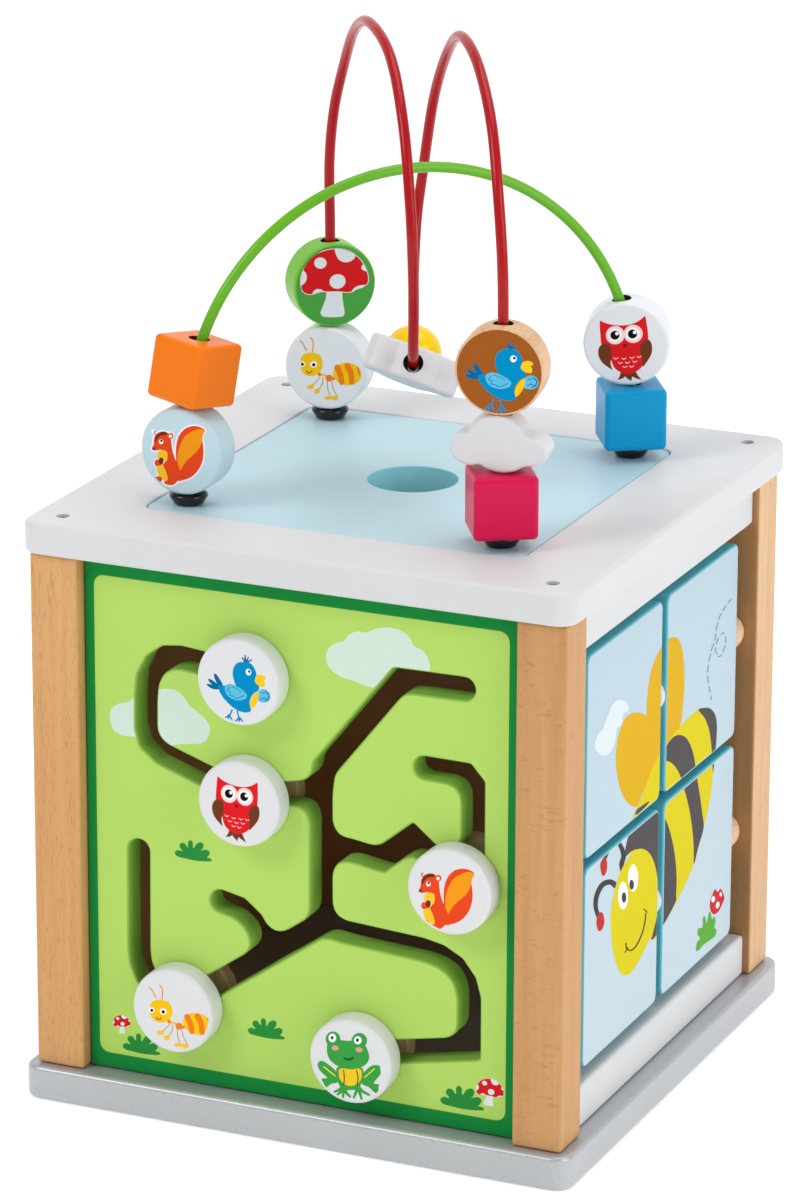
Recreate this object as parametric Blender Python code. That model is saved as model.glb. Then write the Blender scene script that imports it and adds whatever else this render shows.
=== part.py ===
"""Wooden baby activity cube: maze front, flip-tile side, gear side, clock side
and a lift-out lid that carries a two-wire bead maze.  Metres, +Z up.
The origin is the centre of the base board's underside, -Y is the maze side
and +X is the side with the four flip tiles."""
import bpy
import bmesh
from math import sin, cos, pi, radians, sqrt, atan2, tan, acos, hypot
from mathutils import Vector, Matrix

MM = 0.001
GAP = 0.3            # clearance between neighbouring pieces, mm

for _o in list(bpy.data.objects):
    bpy.data.objects.remove(_o, do_unlink=True)


# ---------------------------------------------------------------- materials
def material(name, rgb, rough=0.5, metal=0.0):
    m = bpy.data.materials.new(name)
    m.use_nodes = True
    b = m.node_tree.nodes["Principled BSDF"]
    b.inputs["Base Color"].default_value = (*rgb, 1.0)
    b.inputs["Roughness"].default_value = rough
    b.inputs["Metallic"].default_value = metal
    m.diffuse_color = (*rgb, 1.0)
    return m


BEECH = (0.62, 0.38, 0.19)
PALE_WOOD = (0.70, 0.50, 0.28)
WHITE = (0.86, 0.86, 0.87)


# ---------------------------------------------------------------- helpers
def link(name, mesh, mat, loc=(0, 0, 0), rot=None, parent=None):
    """Link a mesh (built in metres round its own origin) into the scene."""
    ob = bpy.data.objects.new(name, mesh)
    bpy.context.scene.collection.objects.link(ob)
    mesh.materials.append(mat)
    m = Matrix.Translation(Vector(loc) * MM)
    if rot is not None:
        m = m @ rot.to_4x4()
    if parent is not None:
        ob.parent = parent
        m = Matrix.Translation(-parent.location) @ m
    ob.matrix_local = m
    return ob


def finish_mesh(bm, name, smooth_deg=35):
    bmesh.ops.recalc_face_normals(bm, faces=bm.faces)
    for v in bm.verts:
        v.co *= MM
    me = bpy.data.meshes.new(name)
    bm.to_mesh(me)
    bm.free()
    me.shade_smooth()
    me.set_sharp_from_angle(angle=radians(smooth_deg))
    return me


def rounded_rect(w, h, r, n=5):
    pts = []
    for cx, cy, a0 in ((w / 2 - r, h / 2 - r, 0), (-w / 2 + r, h / 2 - r, 90),
                       (-w / 2 + r, -h / 2 + r, 180), (w / 2 - r, -h / 2 + r, 270)):
        for i in range(n + 1):
            a = radians(a0 + 90 * i / n)
            pts.append((cx + r * cos(a), cy + r * sin(a)))
    return pts


def circle(r, n, cx=0.0, cy=0.0, a0=0.0):
    return [(cx + r * cos(a0 + 2 * pi * i / n), cy + r * sin(a0 + 2 * pi * i / n)) for i in range(n)]


def add_prism(bm, outline, z0, z1, axes=None):
    """Extrude an outline from z0 to z1; axes maps (a, b, height) to x, y, z."""
    f = axes or (lambda a, b, h: (a, b, h))
    lo = [bm.verts.new(f(a, b, z0)) for a, b in outline]
    hi = [bm.verts.new(f(a, b, z1)) for a, b in outline]
    n = len(outline)
    bm.faces.new(list(reversed(lo)))
    bm.faces.new(hi)
    for i in range(n):
        bm.faces.new((lo[i], lo[(i + 1) % n], hi[(i + 1) % n], hi[i]))


def prism(name, outline, z0, z1, axes=None):
    bm = bmesh.new()
    add_prism(bm, outline, z0, z1, axes)
    return finish_mesh(bm, name)


def block(name, lo, hi):
    bm = bmesh.new()
    add_prism(bm, [(lo[0], lo[1]), (hi[0], lo[1]), (hi[0], hi[1]), (lo[0], hi[1])], lo[2], hi[2])
    return finish_mesh(bm, name)


def turned(name, profile, n, axes=None, ring=False):
    """Turn a profile of (radius, height).  ring=True closes the profile on
    itself round an open bore; otherwise both ends lie on the axis."""
    f = axes or (lambda a, b, h: (a, b, h))
    bm = bmesh.new()
    rings = []
    for r, z in profile:
        if r < 1e-6:
            rings.append([bm.verts.new(f(0, 0, z))])
        else:
            rings.append([bm.verts.new(f(r * cos(2 * pi * i / n), r * sin(2 * pi * i / n), z))
                          for i in range(n)])
    pairs = list(zip(rings, rings[1:]))
    if ring:
        pairs.append((rings[-1], rings[0]))
    for p, q in pairs:
        for i in range(n):
            j = (i + 1) % n
            if len(p) == 1:
                bm.faces.new((p[0], q[i], q[j]))
            elif len(q) == 1:
                bm.faces.new((p[i], p[j], q[0]))
            else:
                bm.faces.new((p[i], p[j], q[j], q[i]))
    return finish_mesh(bm, name)


def along_y(a, b, h):
    return (a, h, b)


def along_x(a, b, h):
    return (h, a, b)


def bevel(ob, width, segments=2, angle=35):
    m = ob.modifiers.new("Bevel", "BEVEL")
    m.width = width * MM
    m.segments = segments
    m.limit_method = "ANGLE"
    m.angle_limit = radians(angle)
    return m


def boolean(ob, mesh, op="DIFFERENCE", loc=(0, 0, 0), rot=None, parent=None, self_cut=False):
    c = bpy.data.objects.new("cut_" + ob.name, mesh)
    bpy.context.scene.collection.objects.link(c)
    m = Matrix.Translation(Vector(loc) * MM)
    if rot is not None:
        m = m @ rot.to_4x4()
    if parent is not None:
        c.parent = parent
        m = Matrix.Translation(-parent.location) @ m
    c.matrix_local = m
    c.hide_render = True
    c.display_type = "WIRE"
    b = ob.modifiers.new("Boolean", "BOOLEAN")
    b.operation = op
    b.object = c
    b.solver = "EXACT"
    b.use_self = self_cut
    return b


def pivot(name, loc):
    e = bpy.data.objects.new(name, None)
    bpy.context.scene.collection.objects.link(e)
    e.location = Vector(loc) * MM
    return e


def frame_from(z_axis, x_hint):
    """Rotation whose local Z is z_axis and whose local X is as near x_hint as it can be."""
    z = Vector(z_axis).normalized()
    x = Vector(x_hint)
    x = (x - x.dot(z) * z).normalized()
    y = z.cross(x)
    return Matrix((x, y, z)).transposed()


# ---------------------------------------------------------------- main sizes
HALF = 126.5         # base board half width
BASE_T = 15.0
POST = 22.0
POST_OUT = 121.5
POST_IN = POST_OUT - POST
SLAB = 250.0
SLAB_Z0, SLAB_Z1 = 245.0, 259.0
SIDE_Z0, SIDE_Z1 = BASE_T + GAP, SLAB_Z0 - GAP
LEG = 71.5           # wire legs stand at (+-LEG, +-LEG)
WIRE_R = 2.3

# ---------------------------------------------------------------- carcass
base = link("base_board", prism("base_board", rounded_rect(2 * HALF, 2 * HALF, 8, 4), 0, BASE_T),
            material("base_silver", (0.55, 0.56, 0.58), 0.42, 0.25))
bevel(base, 2.0, 1)

wood = {}
for tag, sx, sy in (("fl", -1, -1), ("fr", 1, -1), ("bl", -1, 1), ("br", 1, 1)):
    c = POST_OUT - POST / 2
    p = link("post_" + tag,
             block("post_" + tag, (-POST / 2, -POST / 2, SIDE_Z0), (POST / 2, POST / 2, SIDE_Z1)),
             material("beech_post_" + tag, BEECH, 0.55), (sx * c, sy * c, 0))
    bevel(p, 1.2, 1)
    wood[tag] = p

slab = link("top_frame", prism("top_frame", rounded_rect(SLAB, SLAB, 9, 4), SLAB_Z0, SLAB_Z1),
            material("frame_white", WHITE, 0.38))
bevel(slab, 2.0, 1)
boolean(slab, prism("top_opening", rounded_rect(173, 173, 7, 4), SLAB_Z0 - 5, SLAB_Z1 + 5))
bm = bmesh.new()
for sx in (-1, 1):
    for sy in (-1, 1):
        add_prism(bm, circle(2.9, 10, sx * 110.8, sy * 110.8), SLAB_Z1 - 2.2, SLAB_Z1 + 3)
boolean(slab, finish_mesh(bm, "screw_recess"))

for tag, sx in (("left", -1), ("right", 1)):
    b = link("lid_batten_" + tag, block("lid_batten_" + tag, (-11, -98, 233), (11, 98, SLAB_Z0 - GAP)),
             material("batten_" + tag, PALE_WOOD, 0.6), (sx * 87, 0, 0))
    bevel(b, 1.0, 1)

# ---------------------------------------------------------------- lid and bead wires
lid = link("lid_panel", prism("lid_panel", rounded_rect(172, 172, 6.5, 4), SLAB_Z0, SLAB_Z1 - 0.3),
           material("lid_blue", (0.44, 0.62, 0.68), 0.36))
bevel(lid, 0.7, 1)
bm = bmesh.new()
add_prism(bm, circle(19.5, 30), SLAB_Z0 - 5, SLAB_Z1 + 5)
for sx in (-1, 1):
    for sy in (-1, 1):
        add_prism(bm, circle(2.8, 10, sx * LEG, sy * LEG), SLAB_Z0 - 5, SLAB_Z1 + 5)
boolean(lid, finish_mesh(bm, "lid_holes"))

GROM = [(2.8, 259.0), (7.9, 259.0), (8.25, 262.4), (6.9, 264.0), (2.8, 264.0)]
for tag, sx, sy in (("fl", -1, -1), ("fr", 1, -1), ("bl", -1, 1), ("br", 1, 1)):
    link("grommet_" + tag, turned("grommet_" + tag, GROM, 14, ring=True),
         material("grommet_black_" + tag, (0.012, 0.012, 0.014), 0.22), (sx * LEG, sy * LEG, 0))


def tube(name, pts, radius, mat, res=2):
    cu = bpy.data.curves.new(name, "CURVE")
    cu.dimensions = "3D"
    cu.bevel_depth = radius * MM
    cu.bevel_resolution = res
    cu.use_fill_caps = True
    sp = cu.splines.new("POLY")
    sp.points.add(len(pts) - 1)
    for p, q in zip(sp.points, pts):
        p.co = (q[0] * MM, q[1] * MM, q[2] * MM, 1.0)
    ob = bpy.data.objects.new(name, cu)
    bpy.context.scene.collection.objects.link(ob)
    cu.materials.append(mat)
    return ob


# green wire: an upright half circle across the FL - BR diagonal, on straight legs
ARC_Z = 294.0
ARC_R = LEG * sqrt(2)


def green_point(deg):
    """Point of the green arc, deg up from the FL leg (0) over the top to BR (180)."""
    a = radians(deg)
    s = -ARC_R * cos(a) / sqrt(2)
    return (s, s, ARC_Z + ARC_R * sin(a))


green = [(-LEG, -LEG, 246.0), (-LEG, -LEG, 270.0)]
green += [green_point(7.5 * i) for i in range(25)]
green += [(LEG, LEG, 270.0), (LEG, LEG, 246.0)]
tube("wire_green", green, WIRE_R, material("wire_green_coat", (0.20, 0.52, 0.05), 0.3))

# red wire: bent over both arches and down through one low round dip
DIP_Z, DIP_R = 370.0, 59.5
DIP_DIR = Vector((0.404, -0.915, 0.0)).normalized()
dip_pivot = pivot("red_dip_centre", (0, 0, DIP_Z))


def dip_point(deg):
    a = radians(deg)
    return tuple(DIP_DIR * DIP_R * sin(a) + Vector((0, 0, DIP_Z - DIP_R * cos(a))))


def dip_tangent(deg):
    a = radians(deg)
    return DIP_DIR * cos(a) + Vector((0, 0, sin(a)))


RED_VIA = [(-71.5, 71.5, 262), (-71.5, 71.5, 300), (-71.5, 71.5, 345), (-71.5, 71, 376),
           (-68, 68, 399), (-60, 60, 420), (-44, 37, 443), (-25, 9.5, 453.5), (-3, -18.5, 447),
           (13, -41, 425), (22, -53.5, 393), (23.5, -53.5, 362)]
RED_VIA += [dip_point(d) for d in (44, 30, 15, 0, -15, -30, -44)]
RED_VIA += [(-22.5, 54, 357), (-20.5, 56.5, 380), (-12.5, 49, 413),
           (3, 27.5, 439), (20.5, 1, 453.5), (40, -27, 450), (57, -51.5, 431),
           (67, -67, 404), (71, -71.5, 376), (71.5, -71.5, 345), (71.5, -71.5, 300),
           (71.5, -71.5, 262)]


def smooth_route(via, step):
    """Centripetal Catmull-Rom curve through the via points."""
    P = [Vector(p) for p in via]
    P = [2 * P[0] - P[1]] + P + [2 * P[-1] - P[-2]]
    out = []
    for i in range(1, len(P) - 2):
        p0, p1, p2, p3 = P[i - 1:i + 3]
        t0 = 0.0
        t1 = t0 + (p1 - p0).length ** 0.5
        t2 = t1 + (p2 - p1).length ** 0.5
        t3 = t2 + (p3 - p2).length ** 0.5
        n = max(1, round((p2 - p1).length / step))
        for k in range(n):
            t = t1 + (t2 - t1) * k / n
            a1 = (t1 - t) / (t1 - t0) * p0 + (t - t0) / (t1 - t0) * p1
            a2 = (t2 - t) / (t2 - t1) * p1 + (t - t1) / (t2 - t1) * p2
            a3 = (t3 - t) / (t3 - t2) * p2 + (t - t2) / (t3 - t2) * p3
            b1 = (t2 - t) / (t2 - t0) * a1 + (t - t0) / (t2 - t0) * a2
            b2 = (t3 - t) / (t3 - t1) * a2 + (t - t1) / (t3 - t1) * a3
            out.append((t2 - t) / (t2 - t1) * b1 + (t - t1) / (t2 - t1) * b2)
    out.append(P[-2])
    return out


red = [Vector((-LEG, LEG, 246))] + smooth_route(RED_VIA, 13.5) + [Vector((LEG, -LEG, 246))]
tube("wire_red", red, WIRE_R, material("wire_red_coat", (0.55, 0.015, 0.02), 0.3))

# ---------------------------------------------------------------- beads
COIN_R, COIN_T, CUBE, BORE = 18.75, 15.0, 27.0, 4.25


def bore_mesh(name, half=30.0):
    return prism(name, circle(BORE, 10), -half, half)


def coin_mesh(name):
    """Disc with its face along local -Y and its bore along local Z."""
    h = COIN_T / 2
    prof = [(0, -h), (COIN_R - 1.4, -h), (COIN_R, -h + 1.4), (COIN_R, h - 1.4), (COIN_R - 1.4, h), (0, h)]
    return turned(name, prof, 24, along_y)


def add_coin(name, rgb, loc, rot, parent=None):
    ob = link(name, coin_mesh(name), material(name + "_paint", rgb, 0.35), loc, rot, parent)
    boolean(ob, bore_mesh(name + "_bore"), loc=loc, rot=rot, parent=parent)
    return ob


def add_cube(name, rgb, loc, rot, parent=None):
    h = CUBE / 2
    ob = link(name, block(name, (-h, -h, -h), (h, h, h)), material(name + "_paint", rgb, 0.32), loc, rot, parent)
    bevel(ob, 2.2, 2)
    boolean(ob, bore_mesh(name + "_bore"), loc=loc, rot=rot, parent=parent)
    return ob


def cloud_outline():
    """A 41 x 24 mm cloud: two shoulders, one broad hump and a full, rounded belly."""
    return [(-20.5, -2.5), (-19.5, 1.5), (-16.5, 4.0), (-13.5, 4.8), (-12.0, 7.5), (-8.0, 10.8),
            (-2.0, 12.2), (3.5, 11.6), (8.0, 9.0), (10.5, 5.2), (12.8, 3.6), (17.0, 2.6),
            (20.0, -0.5), (20.3, -4.0), (17.5, -7.2), (13.0, -8.4), (10.5, -8.8), (6.5, -11.0),
            (1.0, -12.0), (-4.5, -11.0), (-8.0, -9.2), (-12.5, -9.6), (-17.0, -8.2), (-20.0, -5.5)]


def add_cloud(name, loc, rot, parent=None):
    out = cloud_outline()
    hi = max(p[1] for p in out)
    lo = min(p[1] for p in out)
    out = [(x, y - (hi + lo) / 2) for x, y in out]
    ob = link(name, prism(name, out, -7.5, 7.5, lambda a, b, h: (a, -h, b)),
              material(name + "_paint", WHITE, 0.35), loc, rot, parent)
    bevel(ob, 1.2, 1, 60)
    boolean(ob, bore_mesh(name + "_bore"), loc=loc, rot=rot, parent=parent)
    return ob, (hi - lo)


def turn(deg):
    """Face of a bead turned deg to the right of straight ahead (-Y)."""
    return Matrix.Rotation(radians(deg), 3, "Z")


STOP = 264.0 + GAP
# back-left leg, on the red wire: ant coin under mushroom coin
z = STOP + COIN_R
add_coin("bead_ant_coin", WHITE, (-LEG, LEG, z), turn(8))
z += 2 * COIN_R + GAP
add_coin("bead_mushroom_coin", (0.12, 0.36, 0.08), (-LEG, LEG, z), turn(43))

# front-right leg, on the red wire: pink cube, cloud, bird coin
z = STOP + CUBE / 2
add_cube("bead_pink_cube", (0.68, 0.015, 0.11), (LEG, -LEG, z), turn(32))
z += CUBE / 2 + GAP
_pts = cloud_outline()
cloud_h = max(p[1] for p in _pts) - min(p[1] for p in _pts)
add_cloud("bead_cloud_low", (LEG, -LEG, z + cloud_h / 2), turn(11))
z += cloud_h + GAP
add_coin("bead_bird_coin", (0.35, 0.14, 0.05), (LEG, -LEG, z + COIN_R), turn(11))

# front-left leg, on the green wire: squirrel coin, then the orange cube on the arc
z = STOP + COIN_R
add_coin("bead_squirrel_coin", (0.42, 0.64, 0.74), (-LEG, -LEG, z), turn(0))
arc_pivot = pivot("green_arc_centre", (0, 0, ARC_Z))


def on_arc(deg, face_deg, toward):
    """Rotation of a bead on the green arc: bore along the wire, face turned."""
    a = radians(deg)
    k = sin(a) / sqrt(2) * toward
    tang = Vector((k, k, cos(a)))
    face = Matrix.Rotation(radians(face_deg), 3, "Z") @ Vector((1, 0, 0))
    return frame_from(tang, face)


# the orange cube rests a little slack on the wire, less tilted than the wire under it
ORANGE_DEG, ORANGE_LEAN, OWL_DEG = 13.0, 9.2, 9.8
slack = Vector((cos(radians(ORANGE_DEG)) / sqrt(2), cos(radians(ORANGE_DEG)) / sqrt(2), -sin(radians(ORANGE_DEG)))) * 0.5
add_cube("bead_orange_cube", (0.86, 0.20, 0.015), tuple(Vector(green_point(ORANGE_DEG)) + slack),
         on_arc(ORANGE_LEAN, -17, 1), arc_pivot)

# back-right leg, on the green wire: blue cube, then the owl coin on the arc
z = STOP + CUBE / 2
add_cube("bead_blue_cube", (0.0, 0.29, 0.56), (LEG, LEG, z), turn(32))
hang = Vector((-cos(radians(OWL_DEG)) / sqrt(2), -cos(radians(OWL_DEG)) / sqrt(2), -sin(radians(OWL_DEG)))) * 0.6
add_coin("bead_owl_coin", WHITE, tuple(Vector(green_point(180 - OWL_DEG)) + hang),
         on_arc(OWL_DEG, 17, -1), arc_pivot)

# in the dip of the red wire: second cloud and the yellow ball
CLOUD_DEG, BALL_DEG = 22.5, -10.0
side = Vector((0.915, 0.404, 0.0))
tang = dip_tangent(CLOUD_DEG)
roll = Matrix.Rotation(radians(-20), 3, tang)
add_cloud("bead_cloud_high", dip_point(CLOUD_DEG), frame_from(-tang, roll @ side), dip_pivot)

ball = link("bead_yellow_ball",
            turned("bead_yellow_ball", [(12.25 * sin(pi * i / 9), -12.25 * cos(pi * i / 9)) if 0 < i < 9
                                        else (0, -12.25 * cos(pi * i / 9)) for i in range(10)], 16),
            material("bead_ball_paint", (0.92, 0.60, 0.01), 0.3),
            dip_point(BALL_DEG), frame_from(dip_tangent(BALL_DEG), side), dip_pivot)
boolean(ball, prism("ball_bore", circle(4.6, 12), -30, 30), loc=dip_point(BALL_DEG), rot=frame_from(dip_tangent(BALL_DEG), side),
        parent=dip_pivot)

# ---------------------------------------------------------------- maze side (-Y)
MAZE_Y0, MAZE_Y1 = -115.2, -103.2
SLOT = 10.0
maze = link("maze_panel", block("maze_panel", (-99.2, MAZE_Y0, SIDE_Z0), (99.2, MAZE_Y1, SIDE_Z1)),
            material("maze_green", (0.36, 0.62, 0.14), 0.4))
bevel(maze, 0.8, 1)

HUB = (9.7, 96.8)    # where the lower branches meet the trunk
JOIN = (9.7, 156.0)
PATHS = [
    [(-23, 202.5), (-59, 205.5), (-70, 193.5), (-71, 169), (-66.5, 163), (-41, 154.3), (-23, 149), JOIN],
    [(74, 210), (45, 209.7), (11, 166.4), JOIN, HUB],
    [(9.7, 132), (23.4, 132), (37, 130), (51.5, 142), (72.5, 125)],
    [(56.7, 173.3), (75, 172.8), (78.4, 166.8), (78.4, 138), (72.5, 125)],
    [HUB, (-54.5, 51.2), (-71, 56.4), (-75.3, 69.3), (-75, 117)],
    [(-36.6, 100), (-25, 97), (-17, 85.6), (-13.3, 80.5)],
    [HUB, (21, 95.3), (60, 93), (73.5, 84.6), (77.3, 74), (77.3, 52.3), (28, 42.3)],
]


def capsule(p, q, w, n=5):
    """Outline of a slot of width w from p to q with round ends."""
    a = atan2(q[1] - p[1], q[0] - p[0])
    pts = [(q[0] + w / 2 * cos(a - pi / 2 + pi * i / n), q[1] + w / 2 * sin(a - pi / 2 + pi * i / n))
           for i in range(n + 1)]
    pts += [(p[0] + w / 2 * cos(a + pi / 2 + pi * i / n), p[1] + w / 2 * sin(a + pi / 2 + pi * i / n))
            for i in range(n + 1)]
    return pts


bm = bmesh.new()
k = 0
for path in PATHS:
    for p, q in zip(path, path[1:]):
        k += 1
        # each run's ends stand a little further out, so that no two caps share a plane
        e = 4.0 + 0.07 * k
        add_prism(bm, capsule(p, q, SLOT + 0.004 * k), MAZE_Y0 - e, MAZE_Y1 + e, along_y)
boolean(maze, finish_mesh(bm, "maze_slots"), self_cut=True)

KNOB_Y0, KNOB_Y1 = -126.5, MAZE_Y0 - GAP


def add_knob(name, x, zc):
    prof = [(0, KNOB_Y0), (COIN_R - 1.5, KNOB_Y0), (COIN_R, KNOB_Y0 + 1.5), (COIN_R, KNOB_Y1),
            (4.0, KNOB_Y1), (4.0, -96.0), (0, -96.0)]
    link("knob_" + name, turned("knob_" + name, prof, 24, along_y),
         material("knob_" + name + "_paint", WHITE, 0.33), (x, 0, zc))
    y0, y1 = MAZE_Y1 + GAP, -95.0
    prof = [(4.4, y0), (16.5, y0), (16.5, y1), (4.4, y1)]
    link("retainer_" + name, turned("retainer_" + name, prof, 18, along_y, ring=True),
         material("retainer_" + name + "_wood", PALE_WOOD, 0.6), (x, 0, zc))


for name, x, zc in (("bird", -23, 202.5), ("owl", -23, 149), ("squirrel", 72.5, 125),
                    ("ant", -54.5, 51.2), ("frog", 28, 42.3)):
    add_knob(name, x, zc)

# ---------------------------------------------------------------- tile side (+X)
RAIL_X0, RAIL_X1 = 104.5, 118.5
for tag, z0, z1 in (("low", SIDE_Z0, 34.0), ("top", 226.0, SIDE_Z1)):
    r = link("rail_" + tag, block("rail_" + tag, (RAIL_X0, -99.2, z0), (RAIL_X1, 99.2, z1)),
             material("rail_white_" + tag, WHITE, 0.38))
    bevel(r, 1.4, 1)

AXLE_X = 108.6
ROWS = (("low", 83.5), ("top", 176.5))
for tag, zc in ROWS:
    prof = [(0, -107.5), (4.0, -107.5), (4.0, 107.5), (0, 107.5)]
    link("tile_dowel_" + tag, turned("tile_dowel_" + tag, prof, 12, along_y),
         material("dowel_" + tag + "_wood", PALE_WOOD, 0.55), (AXLE_X, 0, zc))
for tag, s in (("fr", -1), ("br", 1)):
    bm = bmesh.new()
    for _, zc in ROWS:
        a, b = (98.0, 109.0) if s > 0 else (-109.0, -98.0)
        add_prism(bm, circle(4.5, 12, AXLE_X, zc), a, b, along_y)
    boolean(wood[tag], finish_mesh(bm, "dowel_holes_" + tag))

for tag, zc in ROWS:
    for side_tag, s in (("front", -1), ("back", 1)):
        yc = s * 44.75
        t = link("tile_%s_%s" % (tag, side_tag),
                 prism("tile", rounded_rect(84, 89, 4, 3), -8.25, 8.25, along_x),
                 material("tile_%s_%s_paint" % (tag, side_tag), (0.55, 0.72, 0.82), 0.38), (AXLE_X, yc, zc))
        bevel(t, 1.0, 1)
        boolean(t, prism("tile_bore", circle(4.5, 12), -60, 60, along_y), loc=(AXLE_X, yc, zc))
        # rounded wooden collar between the tile and the post
        e0, e1 = 86.75 + GAP, POST_IN - GAP
        m, h = (e0 + e1) / 2, (e1 - e0) / 2
        prof = [(4.5, -h), (6.0, -h), (8.2, -h * 0.3), (8.2, h * 0.3), (6.0, h), (4.5, h)]
        link("collar_%s_%s" % (tag, side_tag), turned("collar_%s_%s" % (tag, side_tag), prof, 12, along_y, ring=True),
             material("collar_%s_%s_wood" % (tag, side_tag), PALE_WOOD, 0.55), (AXLE_X, s * m, zc))
    prof = [(4.5, -2.4), (8.0, -2.4), (8.0, 2.4), (4.5, 2.4)]
    link("spacer_" + tag, turned("spacer_" + tag, prof, 14, along_y, ring=True),
         material("spacer_%s_white" % tag, WHITE, 0.5), (AXLE_X, 0, zc))

# ---------------------------------------------------------------- gear side (-X)
LEFT_X0, LEFT_X1 = -110.0, -100.0
left = link("left_panel", block("left_panel", (LEFT_X0, -99.2, SIDE_Z0), (LEFT_X1, 99.2, SIDE_Z1)),
            material("left_panel_blue", (0.30, 0.58, 0.70), 0.4))
bevel(left, 0.8, 1)
TEETH, MODULE, PRESSURE = 12, 5.0, radians(25)
PITCH_R = TEETH * MODULE / 2
GEARS = [("red", (-36.0, 178.0), (0.62, 0.03, 0.03)), ("yellow", (17.0, 149.0), (0.90, 0.56, 0.02)),
         ("green", (-16.0, 98.6), (0.16, 0.46, 0.07))]


def involute_gear(phase):
    """Outline of a spur gear with one tooth centred on the angle phase."""
    tip, root, base_r = PITCH_R + 0.8 * MODULE, PITCH_R - 1.05 * MODULE, PITCH_R * cos(PRESSURE)
    backlash = 0.5

    def inv(r):
        t = acos(min(1.0, base_r / r))
        return tan(t) - t
    half = pi / (2 * TEETH) - backlash / 2 / PITCH_R
    radii = [base_r + (tip - base_r) * i / 3 for i in range(4)]
    flank = [(r, half + inv(PITCH_R) - inv(r)) for r in radii]
    pts = []
    for k in range(TEETH):
        c = phase + 2 * pi * k / TEETH
        w = flank[0][1]
        for r, a in [(root, w + 0.02)] + flank:
            pts.append((r * cos(c - a), r * sin(c - a)))
        for r, a in reversed([(root, w + 0.02)] + flank):
            pts.append((r * cos(c + a), r * sin(c + a)))
    return pts


step = 2 * pi / TEETH
(y1, z1), (y2, z2), (y3, z3) = (g[1] for g in GEARS)
a12 = atan2(z2 - z1, y2 - y1)
a23 = atan2(z3 - z2, y3 - y2)
ph1 = a12
ph2 = a12 + pi + step / 2
off = (ph2 - a23) % step
ph3 = a23 + pi - off + step / 2
bm = bmesh.new()
for (tag, (yc, zc), rgb), ph in zip(GEARS, (ph1, ph2, ph3)):
    g = link("gear_" + tag, prism("gear_" + tag, involute_gear(ph), LEFT_X0 - 9.3, LEFT_X0 - 0.4, along_x),
             material("gear_%s_paint" % tag, rgb, 0.36), (0, yc, zc))
    boolean(g, turned("gear_recess", [(0, LEFT_X0 - 6.6), (5.4, LEFT_X0 - 6.6), (5.4, LEFT_X0 + 3), (0, LEFT_X0 + 3)],
                      20, along_x), loc=(0, yc, zc))
    add_prism(bm, circle(5.0, 20, yc, zc), LEFT_X0 - 6.0, LEFT_X0 + 4.0, along_x)
boolean(left, finish_mesh(bm, "gear_pins"), op="UNION")

# ---------------------------------------------------------------- clock side (+Y)
BACK_Y0, BACK_Y1 = 100.0, 110.0
CLOCK_Z = 132.0
back = link("back_panel", block("back_panel", (-99.2, BACK_Y0, SIDE_Z0), (99.2, BACK_Y1, SIDE_Z1)),
            material("back_panel_yellow", (0.80, 0.62, 0.18), 0.4))
bevel(back, 0.8, 1)
boolean(back, prism("clock_hole", circle(4.35, 18, 0, CLOCK_Z), BACK_Y0 - 5, BACK_Y1 + 5, along_y))


def hand_outline(length, w):
    """Clock hand with a round eye, a straight shank and a pointed tip, along +Z."""
    eye = 10.0
    a = atan2(w, sqrt(eye * eye - w * w))
    pts = [(eye * sin(t), eye * cos(t)) for t in
           [a + (2 * pi - 2 * a) * i / 18 for i in range(19)]]
    return [(-w, length - 22), (-w - 3.5, length - 22), (0, length), (w + 3.5, length - 22), (w, length - 22)] + pts


for tag, length, w, y0, ang in (("minute", 66, 4.0, BACK_Y1 + 0.4, 0), ("hour", 48, 5.0, BACK_Y1 + 4.3, 60)):
    hnd = link("clock_%s_hand" % tag, prism("clock_%s_hand" % tag, hand_outline(length, w), y0, y0 + 3.5, along_y),
               material("clock_%s_paint" % tag, (0.62, 0.03, 0.03) if tag == "minute" else (0.0, 0.22, 0.5), 0.36),
               (0, 0, CLOCK_Z), Matrix.Rotation(radians(-ang), 3, "Y"))
    boolean(hnd, prism("hand_bore", circle(4.4, 18), BACK_Y0, BACK_Y1 + 20, along_y), loc=(0, 0, CLOCK_Z))
prof = [(0, BACK_Y0 + 0.3), (4.0, BACK_Y0 + 0.3), (4.0, BACK_Y1 + 8.2), (8.0, BACK_Y1 + 8.2),
        (8.0, BACK_Y1 + 10.0), (6.5, BACK_Y1 + 11.4), (0, BACK_Y1 + 11.4)]
link("clock_pin", turned("clock_pin", prof, 16, along_y), material("clock_pin_paint", WHITE, 0.35),
     (0, 0, CLOCK_Z))
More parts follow.
